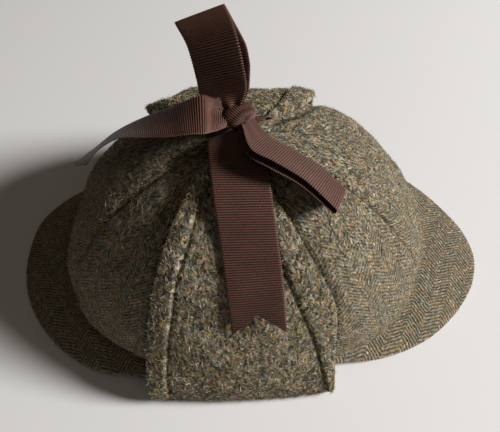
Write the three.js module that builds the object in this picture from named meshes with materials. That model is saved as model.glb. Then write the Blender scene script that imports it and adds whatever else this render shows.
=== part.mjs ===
import * as THREE from 'three';

// A tweed deerstalker lying the way it is put away: a crown of eight panels, a peak at each end, and the
// two ear flaps folded up and tied on top with a ribbon bow.
// Millimetres, +Z up. X runs from peak to peak, the near ear flap is at -Y, and Z is 0 where the hat rests.

// Crown
const crownHalfLength = 119; // along X, at the widest height
const crownHalfWidth = 98; // along Y, at the widest height
const crownHeight = 128;
const widestHeight = 28;
const rimHeight = 12; // lower edge of the crown
const rimTuck = 10.5; // how far the rim lies inside the widest outline
const planPower = 2.22; // 2 is an ellipse, more is squarer
const domePower = 1.8;
const panelWall = 3; // tweed, interlining and seam allowances
const panelPuff = 1.2; // how far a panel's middle stands out past its seams
const puffRound = 0.7; // 1 is a half wave from seam to seam, less is fuller
const puffFade = 6; // how late the puff fades toward the top
const topHole = 1.6; // radius left between the panels' tips
const seamGap = 0.3; // between two pieces that are sewn together

// Peaks
const hatHalfLength = 160; // to the tip of each peak
const peakHalfWidth = 95; // of the outline that both peaks follow
const peakPower = 2.35;
const peakThickness = 3.5;
const peakSideLift = 5; // underside of the outline at the flaps, over the surface that the hat rests on
const peakCamber = 2.4; // how far a peak's middle stands over a straight slope
const peakGap = 1.2; // between a peak's end and the flap beside it

// Ear flaps
const flapHalfWidth = 57.6;
const flapCentre = -4.7; // along X
const flapThickness = 4; // two layers of tweed and their interlining
const flapClearance = 0.9; // between the flap and the crown behind it
const foldOut = 8.2; // how far the fold stands out past the crown's side
const foldBow = 3.4; // how far the fold's corners lie behind its middle
const foldRelease = 60; // height where a flap lies on the crown again
const borderWidth = 12; // stitched border along the flap's sides
const borderRise = 1.4;
const borderStep = 3; // width of the slope from the border down to the cloth
const flapLift = 10; // the most that a loose edge stands off the crown

// Ribbon
const ribbonWidth = 32;
const ribbonThickness = 1;
const notchDepth = ribbonWidth / 4; // of the V cut at the end of the front tail
const knotHalfLength = 0.3125 * ribbonWidth;
const knotHalfWidth = 0.225 * ribbonWidth;
const knotHalfHeight = 0.175 * ribbonWidth;
const knotOver = 0.33 * ribbonWidth; // the knot's centre over the crown
const knotPleat = 0.022 * ribbonWidth;
const knotShift = 1.4; // the knot's centre along X
const knotTurn = 94; // degrees from level at the near side, over the top

// Steps of each surface
const panelColumns = 6;
const panelRows = 13;
const peakColumns = 28;
const peakRows = 5;
const flapRows = 15;
const ribbonColumns = 4;
const ribbonSteps = 4; // between two rows of a ribbon's table
const foldSteps = 4; // round the end of a loop
const knotAround = 20;
const knotAlong = 12;

const TWEED_CROWN = { color: 0x55513f, roughness: 0.95, metalness: 0 };
const TWEED_PEAK = { color: 0x57523e, roughness: 0.95, metalness: 0 };
const TWEED_FLAP = { color: 0x615c49, roughness: 0.97, metalness: 0 };
const GROSGRAIN = { color: 0x3b2422, roughness: 0.6, metalness: 0 };

const hat = new THREE.Group();
const topFromWidest = crownHeight - widestHeight;

const mix = THREE.MathUtils.lerp;
const clamp = THREE.MathUtils.clamp;
const radians = THREE.MathUtils.degToRad;

// Distance from the centre to a superellipse at an angle
function outlineRadius(angle, halfLength, halfWidth, power) {
  const along = Math.abs(Math.cos(angle)) / halfLength;
  const across = Math.abs(Math.sin(angle)) / halfWidth;
  return (along ** power + across ** power) ** (-1 / power);
}

// Half the width of a superellipse at a place along its length
function outlineSide(x, halfLength, halfWidth, power) {
  const share = Math.min(Math.abs(x) / halfLength, 1);
  return halfWidth * (1 - share ** power) ** (1 / power);
}

// The crown's outside: angle in plan, and rise from 0 at the rim to 1 at the top
function crownPoint(angle, rise) {
  const lowShare = 0.15;
  let share;
  let height;
  if (rise < lowShare) {
    const down = 1 - rise / lowShare;
    share = 1 - (rimTuck / crownHalfLength) * down * down;
    height = mix(widestHeight, rimHeight, down);
  } else {
    const lastTurn = Math.acos((topHole / crownHalfLength) ** (domePower / 2));
    const turn = ((rise - lowShare) / (1 - lowShare)) * lastTurn;
    share = Math.cos(turn) ** (2 / domePower);
    height = widestHeight + topFromWidest * Math.sin(turn) ** (2 / domePower);
  }
  const radius = share * outlineRadius(angle, crownHalfLength, crownHalfWidth, planPower);
  return new THREE.Vector3(radius * Math.cos(angle), radius * Math.sin(angle), height);
}

function crownNormal(angle, rise) {
  const step = 0.002;
  const low = Math.max(rise - step, 0);
  const high = Math.min(rise + step, 1);
  const around = crownPoint(angle + step, rise).sub(crownPoint(angle - step, rise));
  const up = crownPoint(angle, high).sub(crownPoint(angle, low));
  return around.cross(up).normalize();
}

// A point over the crown: x, the angle from level at -Y up over the top, and a distance over the surface.
// The search runs along a line in the plane of that x, from the height where the crown is widest.
function overCrown(x, degrees, over) {
  const angle = radians(degrees);
  const halfLength = crownHalfLength + over;
  const halfWidth = crownHalfWidth + over;
  const height = topFromWidest + over;
  let near = 0;
  let far = 3 * crownHalfLength;
  for (let turn = 0; turn < 40; turn += 1) {
    const reach = (near + far) / 2;
    const along = Math.abs(x) / halfLength;
    const across = Math.abs(Math.cos(angle) * reach) / halfWidth;
    const up = Math.abs(Math.sin(angle) * reach) / height;
    const level = (along ** planPower + across ** planPower) ** (domePower / planPower) + up ** domePower;
    if (level < 1) near = reach;
    else far = reach;
  }
  return new THREE.Vector3(x, -Math.cos(angle) * near, widestHeight + Math.sin(angle) * near);
}

// A closed solid between two grids of points with the same rows and columns
function solidBetween(outside, inside) {
  const rows = outside.length;
  const columns = outside[0].length;
  const points = [...outside.flat(), ...inside.flat()];
  const outer = (row, column) => row * columns + column;
  const inner = (row, column) => rows * columns + row * columns + column;
  const faces = [];
  const quad = (a, b, c, d) => faces.push(a, b, c, a, c, d);
  for (let row = 0; row < rows - 1; row += 1) {
    for (let column = 0; column < columns - 1; column += 1) {
      quad(outer(row, column), outer(row, column + 1), outer(row + 1, column + 1), outer(row + 1, column));
      quad(inner(row, column), inner(row + 1, column), inner(row + 1, column + 1), inner(row, column + 1));
    }
  }
  const end = rows - 1;
  const side = columns - 1;
  for (let column = 0; column < side; column += 1) {
    quad(inner(0, column), inner(0, column + 1), outer(0, column + 1), outer(0, column));
    quad(outer(end, column), outer(end, column + 1), inner(end, column + 1), inner(end, column));
  }
  for (let row = 0; row < end; row += 1) {
    quad(inner(row + 1, 0), inner(row, 0), outer(row, 0), outer(row + 1, 0));
    quad(outer(row + 1, side), outer(row, side), inner(row, side), inner(row + 1, side));
  }
  return closedGeometry(points, faces);
}

// Turns the faces round where a grid ran the other way, so that they point out
function closedGeometry(points, faces) {
  let volume = 0;
  for (let face = 0; face < faces.length; face += 3) {
    const [a, b, c] = [points[faces[face]], points[faces[face + 1]], points[faces[face + 2]]];
    volume += a.dot(new THREE.Vector3().crossVectors(b, c));
  }
  const geometry = new THREE.BufferGeometry();
  geometry.setFromPoints(points);
  geometry.setIndex(volume < 0 ? faces.toReversed() : faces);
  geometry.computeVertexNormals();
  return geometry;
}

// Normals of a grid of points, from its rows and columns
function gridNormals(grid) {
  return grid.map((points, row) => points.map((point, column) => {
    const along = new THREE.Vector3();
    const next = grid[Math.min(row + 1, grid.length - 1)][column];
    const before = grid[Math.max(row - 1, 0)][column];
    along.subVectors(next, before);
    const across = new THREE.Vector3();
    across.subVectors(points[Math.min(column + 1, points.length - 1)], points[Math.max(column - 1, 0)]);
    return along.cross(across).normalize();
  }));
}

// A solid with a wall on each side of a grid: outward(row, column) and inward are distances from it
function thickSolid(grid, outward, inward) {
  const normals = gridNormals(grid);
  const shift = (point, row, column, far) => point.clone().addScaledVector(normals[row][column], far);
  const outside = grid.map((points, row) => points.map((point, column) => (
    shift(point, row, column, outward(row, column)))));
  const inside = grid.map((points, row) => points.map((point, column) => (
    shift(point, row, column, -inward))));
  return solidBetween(outside, inside);
}

function addPiece(name, geometry, look) {
  const piece = new THREE.Mesh(geometry, new THREE.MeshStandardMaterial(look));
  piece.name = name;
  hat.add(piece);
  return piece;
}

// Crown panels: degrees in plan of the seams, counted from +X
const seams = [-20, 20, 65, 115, 160, 200, 245, 295, 340];

function crownPanel(fromDegrees, toDegrees) {
  const outside = [];
  const inside = [];
  for (let row = 0; row <= panelRows; row += 1) {
    const rise = row / panelRows;
    outside.push([]);
    inside.push([]);
    for (let column = 0; column <= panelColumns; column += 1) {
      const share = column / panelColumns;
      const seamAngle = radians(mix(fromDegrees, toDegrees, share));
      const seamRadius = Math.hypot(crownPoint(seamAngle, rise).x, crownPoint(seamAngle, rise).y);
      const angle = seamAngle + mix(1, -1, share) * (seamGap / 2 / seamRadius);
      const normal = crownNormal(angle, rise);
      const puff = panelPuff * Math.sin(Math.PI * share) ** puffRound * (1 - rise ** puffFade);
      const point = crownPoint(angle, rise);
      outside[row].push(point.clone().addScaledVector(normal, puff));
      inside[row].push(point.clone().addScaledVector(normal, -panelWall));
    }
  }
  // The rim and the inside's tips are cut level, so that the panels close on each other
  outside[0].forEach((point) => point.setZ(rimHeight));
  inside[0].forEach((point) => point.setZ(rimHeight));
  return solidBetween(outside, inside);
}

for (let panel = 1; panel < seams.length; panel += 1) {
  addPiece(`crown_panel_${panel}`, crownPanel(seams[panel - 1], seams[panel]), TWEED_CROWN);
}

// The crown's rim in plan, shifted outward
const rimShare = 1 - rimTuck / crownHalfLength;
function rimSide(x, out) {
  return outlineSide(x, crownHalfLength * rimShare + out, crownHalfWidth * rimShare + out, planPower);
}

// The peaks: side is the way along X, near and far are shares of peakHalfWidth for each half of a peak's
// outline, and tip is how far its tip lies toward +Y, as a share of peakHalfWidth.
const peakRowsBySide = [
  { name: 'peak_right', side: 1, near: 0.955, far: 1.04, tip: -0.06 },
  { name: 'peak_left', side: -1, near: 1.06, far: 0.96, tip: 0.02 },
];

// A peak: a bowed shelf from under the rim to the outline, ending beside the flaps
function peak({ side, near, far, tip }) {
  const flapEdge = flapHalfWidth + side * flapCentre + peakGap;
  const seat = -panelWall / 2;
  const innerEnd = Math.atan2(rimSide(flapEdge, seat), flapEdge);
  const innerHeight = rimHeight - seamGap - peakThickness / 2;
  const grid = [];
  for (let row = 0; row <= peakRows; row += 1) {
    const out = row / peakRows;
    grid.push([]);
    for (let column = 0; column <= peakColumns; column += 1) {
      const share = (2 * column) / peakColumns - 1;
      const halfWidth = peakHalfWidth * (share < 0 ? near : far);
      const outerSide = outlineSide(flapEdge, hatHalfLength, halfWidth, peakPower);
      const innerAngle = share * innerEnd;
      const outerAngle = share * Math.atan2(outerSide, flapEdge);
      const innerRadius = outlineRadius(
        innerAngle, crownHalfLength * rimShare + seat, crownHalfWidth * rimShare + seat, planPower);
      const outerRadius = outlineRadius(outerAngle, hatHalfLength, halfWidth, peakPower);
      const tipShift = tip * peakHalfWidth * (1 - Math.abs(share)) ** 0.5;
      const outerX = outerRadius * Math.cos(outerAngle);
      const outerY = outerRadius * Math.sin(outerAngle) + tipShift;
      const x = mix(innerRadius * Math.cos(innerAngle), outerX, out);
      const y = mix(innerRadius * Math.sin(innerAngle), outerY, out);
      const edgeHeight = peakThickness / 2 + peakSideLift * share * share;
      const bow = peakCamber * Math.sin(Math.PI * out) ** 1.5 * (1 - share * share);
      const z = mix(innerHeight, edgeHeight, out) + bow;
      grid[row].push(new THREE.Vector3(side * x, y, z));
    }
  }
  // The thickness runs straight up and down, so that the rim and the resting edge keep their heights
  const half = new THREE.Vector3(0, 0, peakThickness / 2);
  const top = grid.map((points) => points.map((point) => point.clone().add(half)));
  const bottom = grid.map((points) => points.map((point) => point.clone().sub(half)));
  return solidBetween(top, bottom);
}

peakRowsBySide.forEach((row) => addPiece(row.name, peak(row), TWEED_PEAK));

// The turn at the foot of a flap: out is a share of the way from the rim to the fold, up of the rim's height
const foldRows = [
  { out: 0, up: 1 },
  { out: 0, up: 0.5 },
  { out: 0.16, up: 0.08 },
  { out: 0.35, up: 0 },
  { out: 0.68, up: 0 },
  { out: 0.93, up: 0.3 },
  { out: 1, up: 0.85 },
];

// A flap over the crown. around is in degrees from level at the side to the top; left and right are the
// flap's edges and shares of flapHalfWidth, leftHem and rightHem are shares of borderWidth, and
// leftLift and rightLift say how far each edge stands off the crown, as shares of flapLift.
const nearFlapRows = [
  { around: 0, left: -0.98, right: 0.99, leftHem: 0.95, rightHem: 0.5, leftLift: 0.1, rightLift: 0 },
  { around: 15, left: -0.93, right: 0.99, leftHem: 1, rightHem: 0.95, leftLift: 0.1, rightLift: 0 },
  { around: 31, left: -0.84, right: 0.96, leftHem: 1, rightHem: 1.55, leftLift: 0.1, rightLift: 0.1 },
  { around: 42, left: -0.76, right: 0.82, leftHem: 0.95, rightHem: 1.45, leftLift: 0.15, rightLift: 0.15 },
  { around: 50, left: -0.67, right: 0.7, leftHem: 0.95, rightHem: 1.25, leftLift: 0.15, rightLift: 0.2 },
  { around: 59, left: -0.57, right: 0.56, leftHem: 0.9, rightHem: 1.1, leftLift: 0.15, rightLift: 0.2 },
  { around: 66, left: -0.47, right: 0.43, leftHem: 0.8, rightHem: 0.9, leftLift: 0.1, rightLift: 0.1 },
  { around: 79, left: -0.22, right: 0.3, leftHem: 0.4, rightHem: 0.4, leftLift: 0, rightLift: 0 },
];
const farFlapRows = [
  { around: 0, left: -0.98, right: 0.99, leftHem: 1, rightHem: 1, leftLift: 0.1, rightLift: 0.1 },
  { around: 20, left: -1, right: 0.98, leftHem: 1, rightHem: 1, leftLift: 0.2, rightLift: 0.2 },
  { around: 40, left: -1, right: 0.96, leftHem: 1, rightHem: 1, leftLift: 0.2, rightLift: 0.3 },
  { around: 52, left: -0.96, right: 0.93, leftHem: 1, rightHem: 1.1, leftLift: 0.4, rightLift: 0.45 },
  { around: 60, left: -0.88, right: 0.9, leftHem: 1, rightHem: 1.2, leftLift: 0.6, rightLift: 0.5 },
  { around: 68, left: -0.74, right: 0.82, leftHem: 0.9, rightHem: 1.1, leftLift: 0.75, rightLift: 0.5 },
  { around: 75, left: -0.52, right: 0.7, leftHem: 0.7, rightHem: 0.8, leftLift: 0.5, rightLift: 0.3 },
  { around: 82, left: -0.2, right: 0.45, leftHem: 0.3, rightHem: 0.3, leftLift: 0, rightLift: 0 },
];

// A table's values at a place between its rows
function tableAt(rows, column, value) {
  const found = rows.findIndex((row) => row[column] >= value);
  const next = found < 0 ? rows.length - 1 : Math.max(found, 1);
  const [low, high] = [rows[next - 1], rows[next]];
  const share = clamp((value - low[column]) / (high[column] - low[column]), 0, 1);
  const blend = (key) => [key, mix(low[key], high[key], share)];
  return Object.fromEntries(Object.keys(low).map(blend));
}

function foldLine(x) {
  const across = (x - flapCentre) / flapHalfWidth;
  return crownHalfWidth + foldOut - foldBow * across * across;
}

const flapOver = panelPuff + flapClearance + flapThickness / 2;

// The middle of a flap's cloth in the plane of x, where it lies over the crown
function flapOnCrown(x, degrees, lift) {
  const point = overCrown(x, degrees, flapOver + lift);
  const side = overCrown(x, 0, flapOver);
  const release = clamp((foldRelease - point.z) / (foldRelease - rimHeight), 0, 1);
  point.y -= Math.max(foldLine(x) + side.y, 0) * release * release * (3 - 2 * release);
  return point;
}

// Shares across a flap where its surface has a point: edges, both sides of each border's step, middle
function flapColumns(left, right, leftHem, rightHem) {
  const leftEnd = left + leftHem;
  const rightEnd = right - rightHem;
  const middle = (leftEnd + rightEnd) / 2;
  return [
    { x: left, rise: 0.7, lift: 0.6 },
    { x: mix(left, leftEnd, 0.45), rise: 1, lift: 0.9 },
    { x: leftEnd, rise: 0.9, lift: 1 },
    { x: leftEnd + borderStep, rise: 0, lift: 0.85 },
    { x: mix(leftEnd + borderStep, middle, 0.5), rise: 0, lift: 0.3 },
    { x: middle, rise: 0, lift: 0 },
    { x: mix(rightEnd - borderStep, middle, 0.5), rise: 0, lift: 0.3 },
    { x: rightEnd - borderStep, rise: 0, lift: 0.85 },
    { x: rightEnd, rise: 0.9, lift: 1 },
    { x: mix(right, rightEnd, 0.45), rise: 1, lift: 0.9 },
    { x: right, rise: 0.7, lift: 0.6 },
  ];
}

function earFlap(rows, mirror) {
  const grid = [];
  const rises = [];
  const foot = rows[0];
  const end = rows[rows.length - 1].around;
  const rootHeight = rimHeight - seamGap;
  for (const row of foldRows) {
    const spread = mix(1, Math.abs(foot.left), Math.max(row.up * row.out, 0));
    const left = -flapHalfWidth * spread;
    const columns = flapColumns(left, flapHalfWidth, borderWidth * foot.leftHem, borderWidth * 0.25);
    const points = columns.map(({ x }) => {
      const across = flapCentre + x;
      const out = mix(rimSide(across, -panelWall / 2), foldLine(across), row.out);
      const up = mix(flapThickness / 2, rootHeight, row.up);
      return new THREE.Vector3(across, -out, up);
    });
    grid.push(points);
    rises.push(columns.map(({ rise }) => (row.out === 1 ? rise * borderRise * 0.6 : 0)));
  }
  for (let step = 0; step < flapRows; step += 1) {
    const around = (end * step) / (flapRows - 1);
    const row = tableAt(rows, 'around', around);
    const columns = flapColumns(
      row.left * flapHalfWidth, row.right * flapHalfWidth,
      row.leftHem * borderWidth, row.rightHem * borderWidth);
    grid.push(columns.map(({ x, lift }, column) => {
      const edgeLift = column < columns.length / 2 ? row.leftLift : row.rightLift;
      return flapOnCrown(flapCentre + x, around, flapLift * edgeLift * lift);
    }));
    rises.push(columns.map(({ rise }) => rise * borderRise));
  }
  const placed = grid.map((points) => points.map((point) => point.setY(mirror * point.y)));
  const half = flapThickness / 2;
  if (mirror > 0) return thickSolid(placed, (row, column) => half + rises[row][column], half);
  const turned = placed.map((points) => points.toReversed());
  const turnedRises = rises.map((values) => values.toReversed());
  return thickSolid(turned, (row, column) => half + turnedRises[row][column], half);
}

addPiece('flap_near', earFlap(nearFlapRows, 1), TWEED_FLAP);
addPiece('flap_far', earFlap(farFlapRows, -1), TWEED_FLAP);

// The ribbon. around is in degrees from level at the near side over the top. across, lift and open are
// shares of ribbonWidth: across is the place along X from the knot's centre, lift is the height over the
// crown, and open is half the space between a loop's two layers. turn and tilt give the way that the
// ribbon's width points, in degrees from +X and up from level, and width is the share of the ribbon's
// width left by its gathers.
const nearLeadRows = [
  { across: -0.045, around: 79.5, lift: 0.09, open: 0, turn: 0, tilt: 0, width: 0.85 },
  { across: -0.045, around: 86, lift: 0.08, open: 0, turn: 0, tilt: 0, width: 0.6 },
  { across: -0.045, around: 93, lift: 0.05, open: 0, turn: 0, tilt: 0, width: 0.45 },
];
const farLeadRows = [
  { across: 0.383, around: 97.6, lift: 0.09, open: 0, turn: 0, tilt: 0, width: 0.5 },
  { across: 0.327, around: 95.6, lift: 0.07, open: 0, turn: -10, tilt: 0, width: 0.4 },
  { across: 0.309, around: 94.2, lift: 0.05, open: 0, turn: -15, tilt: 0, width: 0.2 },
];
const frontTailRows = [
  { across: -0.082, around: 90.2, lift: 0.2, open: 0, turn: -3, tilt: 0, width: 0.35 },
  { across: -0.119, around: 81, lift: 0.31, open: 0, turn: -5, tilt: 2, width: 0.85 },
  { across: -0.037, around: 66.5, lift: 0.45, open: 0, turn: -3, tilt: 0, width: 1 },
  { across: 0.03, around: 53.8, lift: 0.3, open: 0, turn: -2, tilt: -2, width: 1 },
  { across: 0.104, around: 40.2, lift: 0.26, open: 0, turn: 0, tilt: -3, width: 1 },
  { across: 0.205, around: 23.4, lift: 0.28, open: 0, turn: 1, tilt: -3, width: 1 },
];
const leftTailRows = [
  { across: -0.331, around: 94.2, lift: 0.31, open: 0, turn: -83, tilt: 0, width: 0.4 },
  { across: -0.658, around: 94, lift: 0.46, open: 0, turn: -84, tilt: 0, width: 0.98 },
  { across: -1.123, around: 92.4, lift: 0.57, open: 0, turn: -84, tilt: 8, width: 1 },
  { across: -1.58, around: 91.2, lift: 0.74, open: 0, turn: -84, tilt: 19, width: 1 },
  { across: -2.153, around: 90.5, lift: 0.74, open: 0, turn: -79, tilt: 31, width: 1 },
  { across: -2.611, around: 92, lift: 0.6, open: 0, turn: -73, tilt: 41, width: 1 },
  { across: -3.012, around: 89, lift: 0.68, open: 0, turn: -47, tilt: 43, width: 1 },
];
const rightLoopRows = [
  { across: 0.253, around: 87.2, lift: 0.36, open: 0.05, turn: -90, tilt: 12, width: 0.45 },
  { across: 0.55, around: 79.5, lift: 0.47, open: 0.1, turn: -96, tilt: 24, width: 0.8 },
  { across: 0.959, around: 74.2, lift: 0.5, open: 0.15, turn: -99, tilt: 30, width: 0.98 },
  { across: 1.331, around: 70.5, lift: 0.46, open: 0.12, turn: -106, tilt: 30, width: 1 },
  { across: 1.592, around: 67.5, lift: 0.36, open: 0.07, turn: -107, tilt: 29, width: 1 },
];
const upLoopRows = [
  { across: -0.045, around: 97.3, lift: 0.4, open: 0.05, turn: -5, tilt: 3, width: 0.45 },
  { across: -0.249, around: 101, lift: 0.62, open: 0.12, turn: -3, tilt: 4, width: 0.9 },
  { across: -0.361, around: 103.7, lift: 1.03, open: 0.2, turn: 0, tilt: 4, width: 1 },
  { across: -0.465, around: 105.3, lift: 1.42, open: 0.18, turn: 4, tilt: 4, width: 1 },
  { across: -0.61, around: 108, lift: 1.75, open: 0.08, turn: 12, tilt: 11, width: 0.98 },
];

function ribbonPlace(row) {
  return overCrown(knotShift + row.across * ribbonWidth, row.around, row.lift * ribbonWidth + panelPuff);
}

function ribbonAcross(row) {
  const level = Math.cos(radians(row.tilt));
  return new THREE.Vector3(
    level * Math.cos(radians(row.turn)), level * Math.sin(radians(row.turn)), Math.sin(radians(row.tilt)));
}

// A ribbon's middle line, the way its width points, its normal and its table values, along its length
function ribbonFrame(rows) {
  const middle = new THREE.CatmullRomCurve3(rows.map(ribbonPlace), false, 'centripetal');
  const widths = new THREE.CatmullRomCurve3(rows.map(ribbonAcross), false, 'centripetal');
  const last = rows.length - 1;
  return (share) => {
    const at = clamp(share, 0, 1) * last;
    const low = Math.min(Math.floor(at), last - 1);
    const blend = (key) => mix(rows[low][key], rows[low + 1][key], at - low);
    const along = middle.getTangent(clamp(share, 0, 1));
    const across = widths.getPoint(clamp(share, 0, 1)).normalize();
    const normal = new THREE.Vector3().crossVectors(across, along).normalize();
    const point = middle.getPoint(clamp(share, 0, 1));
    return { point, along, across, normal, open: blend('open'), width: blend('width') };
  };
}

// The points of a ribbon's surface: each entry gives a share of the length and a side of the loop
function ribbonGrid(rows, isLoop, notch) {
  const frame = ribbonFrame(rows);
  const count = (rows.length - 1) * ribbonSteps;
  const stations = [];
  for (let step = 0; step <= count; step += 1) stations.push({ share: step / count, turn: 0 });
  if (isLoop) {
    for (let step = 1; step < foldSteps; step += 1) stations.push({ share: 1, turn: step / foldSteps });
    for (let step = count; step >= 0; step -= 1) stations.push({ share: step / count, turn: 1 });
  }
  return stations.map(({ share, turn }) => {
    const points = [];
    for (let column = 0; column <= ribbonColumns; column += 1) {
      const side = (2 * column) / ribbonColumns - 1;
      const short = notch * (1 - Math.abs(side));
      const at = frame(share * (1 - short));
      const point = at.point.clone().addScaledVector(at.across, (side * at.width * ribbonWidth) / 2);
      point.addScaledVector(at.normal, at.open * ribbonWidth * Math.cos(Math.PI * turn));
      point.addScaledVector(at.along, at.open * ribbonWidth * Math.sin(Math.PI * turn));
      points.push(point);
    }
    return points;
  });
}

function ribbon(name, rows, { loop = false, notch = 0 } = {}) {
  const half = ribbonThickness / 2;
  addPiece(name, thickSolid(ribbonGrid(rows, loop, notch), () => half, half), GROSGRAIN);
}

// The knot: a rounded barrel along X with pleats round it
function knot() {
  const centre = overCrown(knotShift, knotTurn, knotOver);
  const rings = [];
  for (let along = 1; along < knotAlong; along += 1) {
    const slope = Math.PI * (along / knotAlong);
    const girth = Math.sin(slope) ** 0.55;
    rings.push([]);
    for (let turn = 0; turn < knotAround; turn += 1) {
      const angle = (2 * Math.PI * turn) / knotAround;
      const pleat = along % 2 === 0 ? knotPleat : 0;
      rings[along - 1].push(new THREE.Vector3(
        centre.x - knotHalfLength * Math.cos(slope),
        centre.y + (girth * knotHalfWidth - pleat) * Math.cos(angle),
        centre.z + (girth * knotHalfHeight - pleat) * Math.sin(angle)));
    }
  }
  const points = rings.flat();
  const start = points.length;
  points.push(new THREE.Vector3(centre.x - knotHalfLength, centre.y, centre.z));
  points.push(new THREE.Vector3(centre.x + knotHalfLength, centre.y, centre.z));
  const faces = [];
  const lastRing = (rings.length - 1) * knotAround;
  for (let turn = 0; turn < knotAround; turn += 1) {
    const next = (turn + 1) % knotAround;
    faces.push(start, next, turn);
    faces.push(start + 1, lastRing + turn, lastRing + next);
    for (let ring = 0; ring < rings.length - 1; ring += 1) {
      const here = ring * knotAround;
      const there = here + knotAround;
      faces.push(here + turn, here + next, there + next);
      faces.push(here + turn, there + next, there + turn);
    }
  }
  return closedGeometry(points, faces);
}

const frontTailLength = 1.2 * crownHalfWidth;
ribbon('ribbon_lead_near', nearLeadRows);
ribbon('ribbon_lead_far', farLeadRows);
ribbon('ribbon_tail_front', frontTailRows, { notch: notchDepth / frontTailLength });
ribbon('ribbon_tail_left', leftTailRows);
ribbon('ribbon_loop_right', rightLoopRows, { loop: true });
ribbon('ribbon_loop_up', upLoopRows, { loop: true });
addPiece('ribbon_knot', knot(), GROSGRAIN);

export default hat;
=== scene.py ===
# %% [markdown]
# # A tweed deerstalker, dressed in Blender
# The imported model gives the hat's solids: eight crown panels, two peaks, two ear flaps and a ribbon bow.
# Cloth is not a plain solid, so each of them is made again here as a fine shell with rounded edges, a
# weave that follows the cloth, and a nap of wool fibres. The solids are only the frame to measure from.

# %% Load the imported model
import math

import bpy
import numpy as np
from mathutils import Matrix, Vector


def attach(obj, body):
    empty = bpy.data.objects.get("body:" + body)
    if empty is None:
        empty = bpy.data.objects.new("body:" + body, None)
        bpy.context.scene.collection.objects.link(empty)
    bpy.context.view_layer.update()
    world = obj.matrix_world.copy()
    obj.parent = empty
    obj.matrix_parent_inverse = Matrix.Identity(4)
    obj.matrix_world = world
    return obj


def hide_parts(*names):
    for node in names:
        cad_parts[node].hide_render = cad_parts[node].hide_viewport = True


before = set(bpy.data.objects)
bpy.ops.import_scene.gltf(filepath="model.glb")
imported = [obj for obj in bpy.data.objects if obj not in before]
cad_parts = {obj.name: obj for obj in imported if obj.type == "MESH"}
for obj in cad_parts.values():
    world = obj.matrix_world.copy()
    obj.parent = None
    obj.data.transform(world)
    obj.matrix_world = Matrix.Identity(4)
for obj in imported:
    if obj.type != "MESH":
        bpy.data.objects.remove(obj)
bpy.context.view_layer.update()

BODY = "root"
MM = 0.001


def add_object(name, data):
    """A new object in the scene, at the origin."""
    made = bpy.data.objects.new(name, data)
    bpy.context.scene.collection.objects.link(made)
    return made


# %% [markdown]
# ## Camera
# The photograph looks down at the near ear flap. A 50 mm lens on a 36 mm sensor fits its perspective.
# The direction comes from fitting the peaks and the crown, and the picture leans by a few degrees.

# %% Camera
CAMERA_PLACE = Vector((8.917, -278.578, 418.563)) * MM
CAMERA_BACK = Vector((0.00959, -0.60567, 0.79566)).normalized()
CAMERA_LEAN = math.radians(2.94)

camera_data = bpy.data.cameras.new("camera")
camera_data.lens = 50
camera_data.sensor_width = 36
camera_data.clip_start, camera_data.clip_end = 0.01, 50
camera = add_object("camera", camera_data)
level_right = Vector((0, 0, 1)).cross(CAMERA_BACK).normalized()
level_up = CAMERA_BACK.cross(level_right)
right = level_right * math.cos(CAMERA_LEAN) - level_up * math.sin(CAMERA_LEAN)
up = level_right * math.sin(CAMERA_LEAN) + level_up * math.cos(CAMERA_LEAN)
turn = Matrix((right, up, CAMERA_BACK)).transposed().to_4x4()
camera.matrix_world = Matrix.Translation(CAMERA_PLACE) @ turn
bpy.context.scene.camera = camera
print("camera", [round(v, 3) for v in CAMERA_PLACE])

# %% [markdown]
# ## Node helpers
# Materials and Geometry Nodes are both graphs. One small function adds a node and fills its sockets,
# either with a number or with a wire from another node, so that a graph reads like a sum.

# %% Node helpers
def add_node(tree, kind, settings=None, **sockets):
    """A new node: settings are its own fields, and sockets are named inputs, or i0, i1 by place."""
    node = tree.nodes.new(kind)
    for field, value in (settings or {}).items():
        setattr(node, field, value)
    for name, value in sockets.items():
        by_place = name[0] == "i" and name[1:].isdigit()
        socket = node.inputs[int(name[1:])] if by_place else node.inputs[name.replace("_", " ")]
        if isinstance(value, bpy.types.NodeSocket):
            tree.links.new(value, socket)
        else:
            socket.default_value = value
    return node


def sums(tree, operation, *values):
    """The result of a Math node."""
    places = {f"i{place}": value for place, value in enumerate(values)}
    return add_node(tree, "ShaderNodeMath", {"operation": operation}, **places).outputs[0]


def times(tree, *values):
    return sums(tree, "MULTIPLY", *values)


def plus(tree, *values):
    return sums(tree, "ADD", *values)


def minus(tree, *values):
    return sums(tree, "SUBTRACT", *values)


def split_xyz(tree, vector):
    return add_node(tree, "ShaderNodeSeparateXYZ", Vector=vector).outputs


def noise(tree, vector, scale, detail=2.0, roughness=0.5):
    return add_node(tree, "ShaderNodeTexNoise", Vector=vector, Scale=scale, Detail=detail,
                    Roughness=roughness).outputs


def vectors(tree, operation, first, second=None, scale=None):
    """The result of a Vector Math node."""
    places = {"i0": first}
    if second is not None:
        places["i1"] = second
    if scale is not None:
        places["Scale"] = scale
    return add_node(tree, "ShaderNodeVectorMath", {"operation": operation}, **places).outputs[0]


def ramp(tree, factor, stops, steps=False):
    """A Color Ramp with (place, colour) stops."""
    node = add_node(tree, "ShaderNodeValToRGB", Fac=factor)
    node.color_ramp.interpolation = "CONSTANT" if steps else "LINEAR"
    elements = node.color_ramp.elements
    while len(elements) < len(stops):
        elements.new(0.5)
    for element, (place, colour) in zip(elements, stops):
        element.position = place
        element.color = (*colour, 1)
    return node.outputs["Color"]


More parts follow.
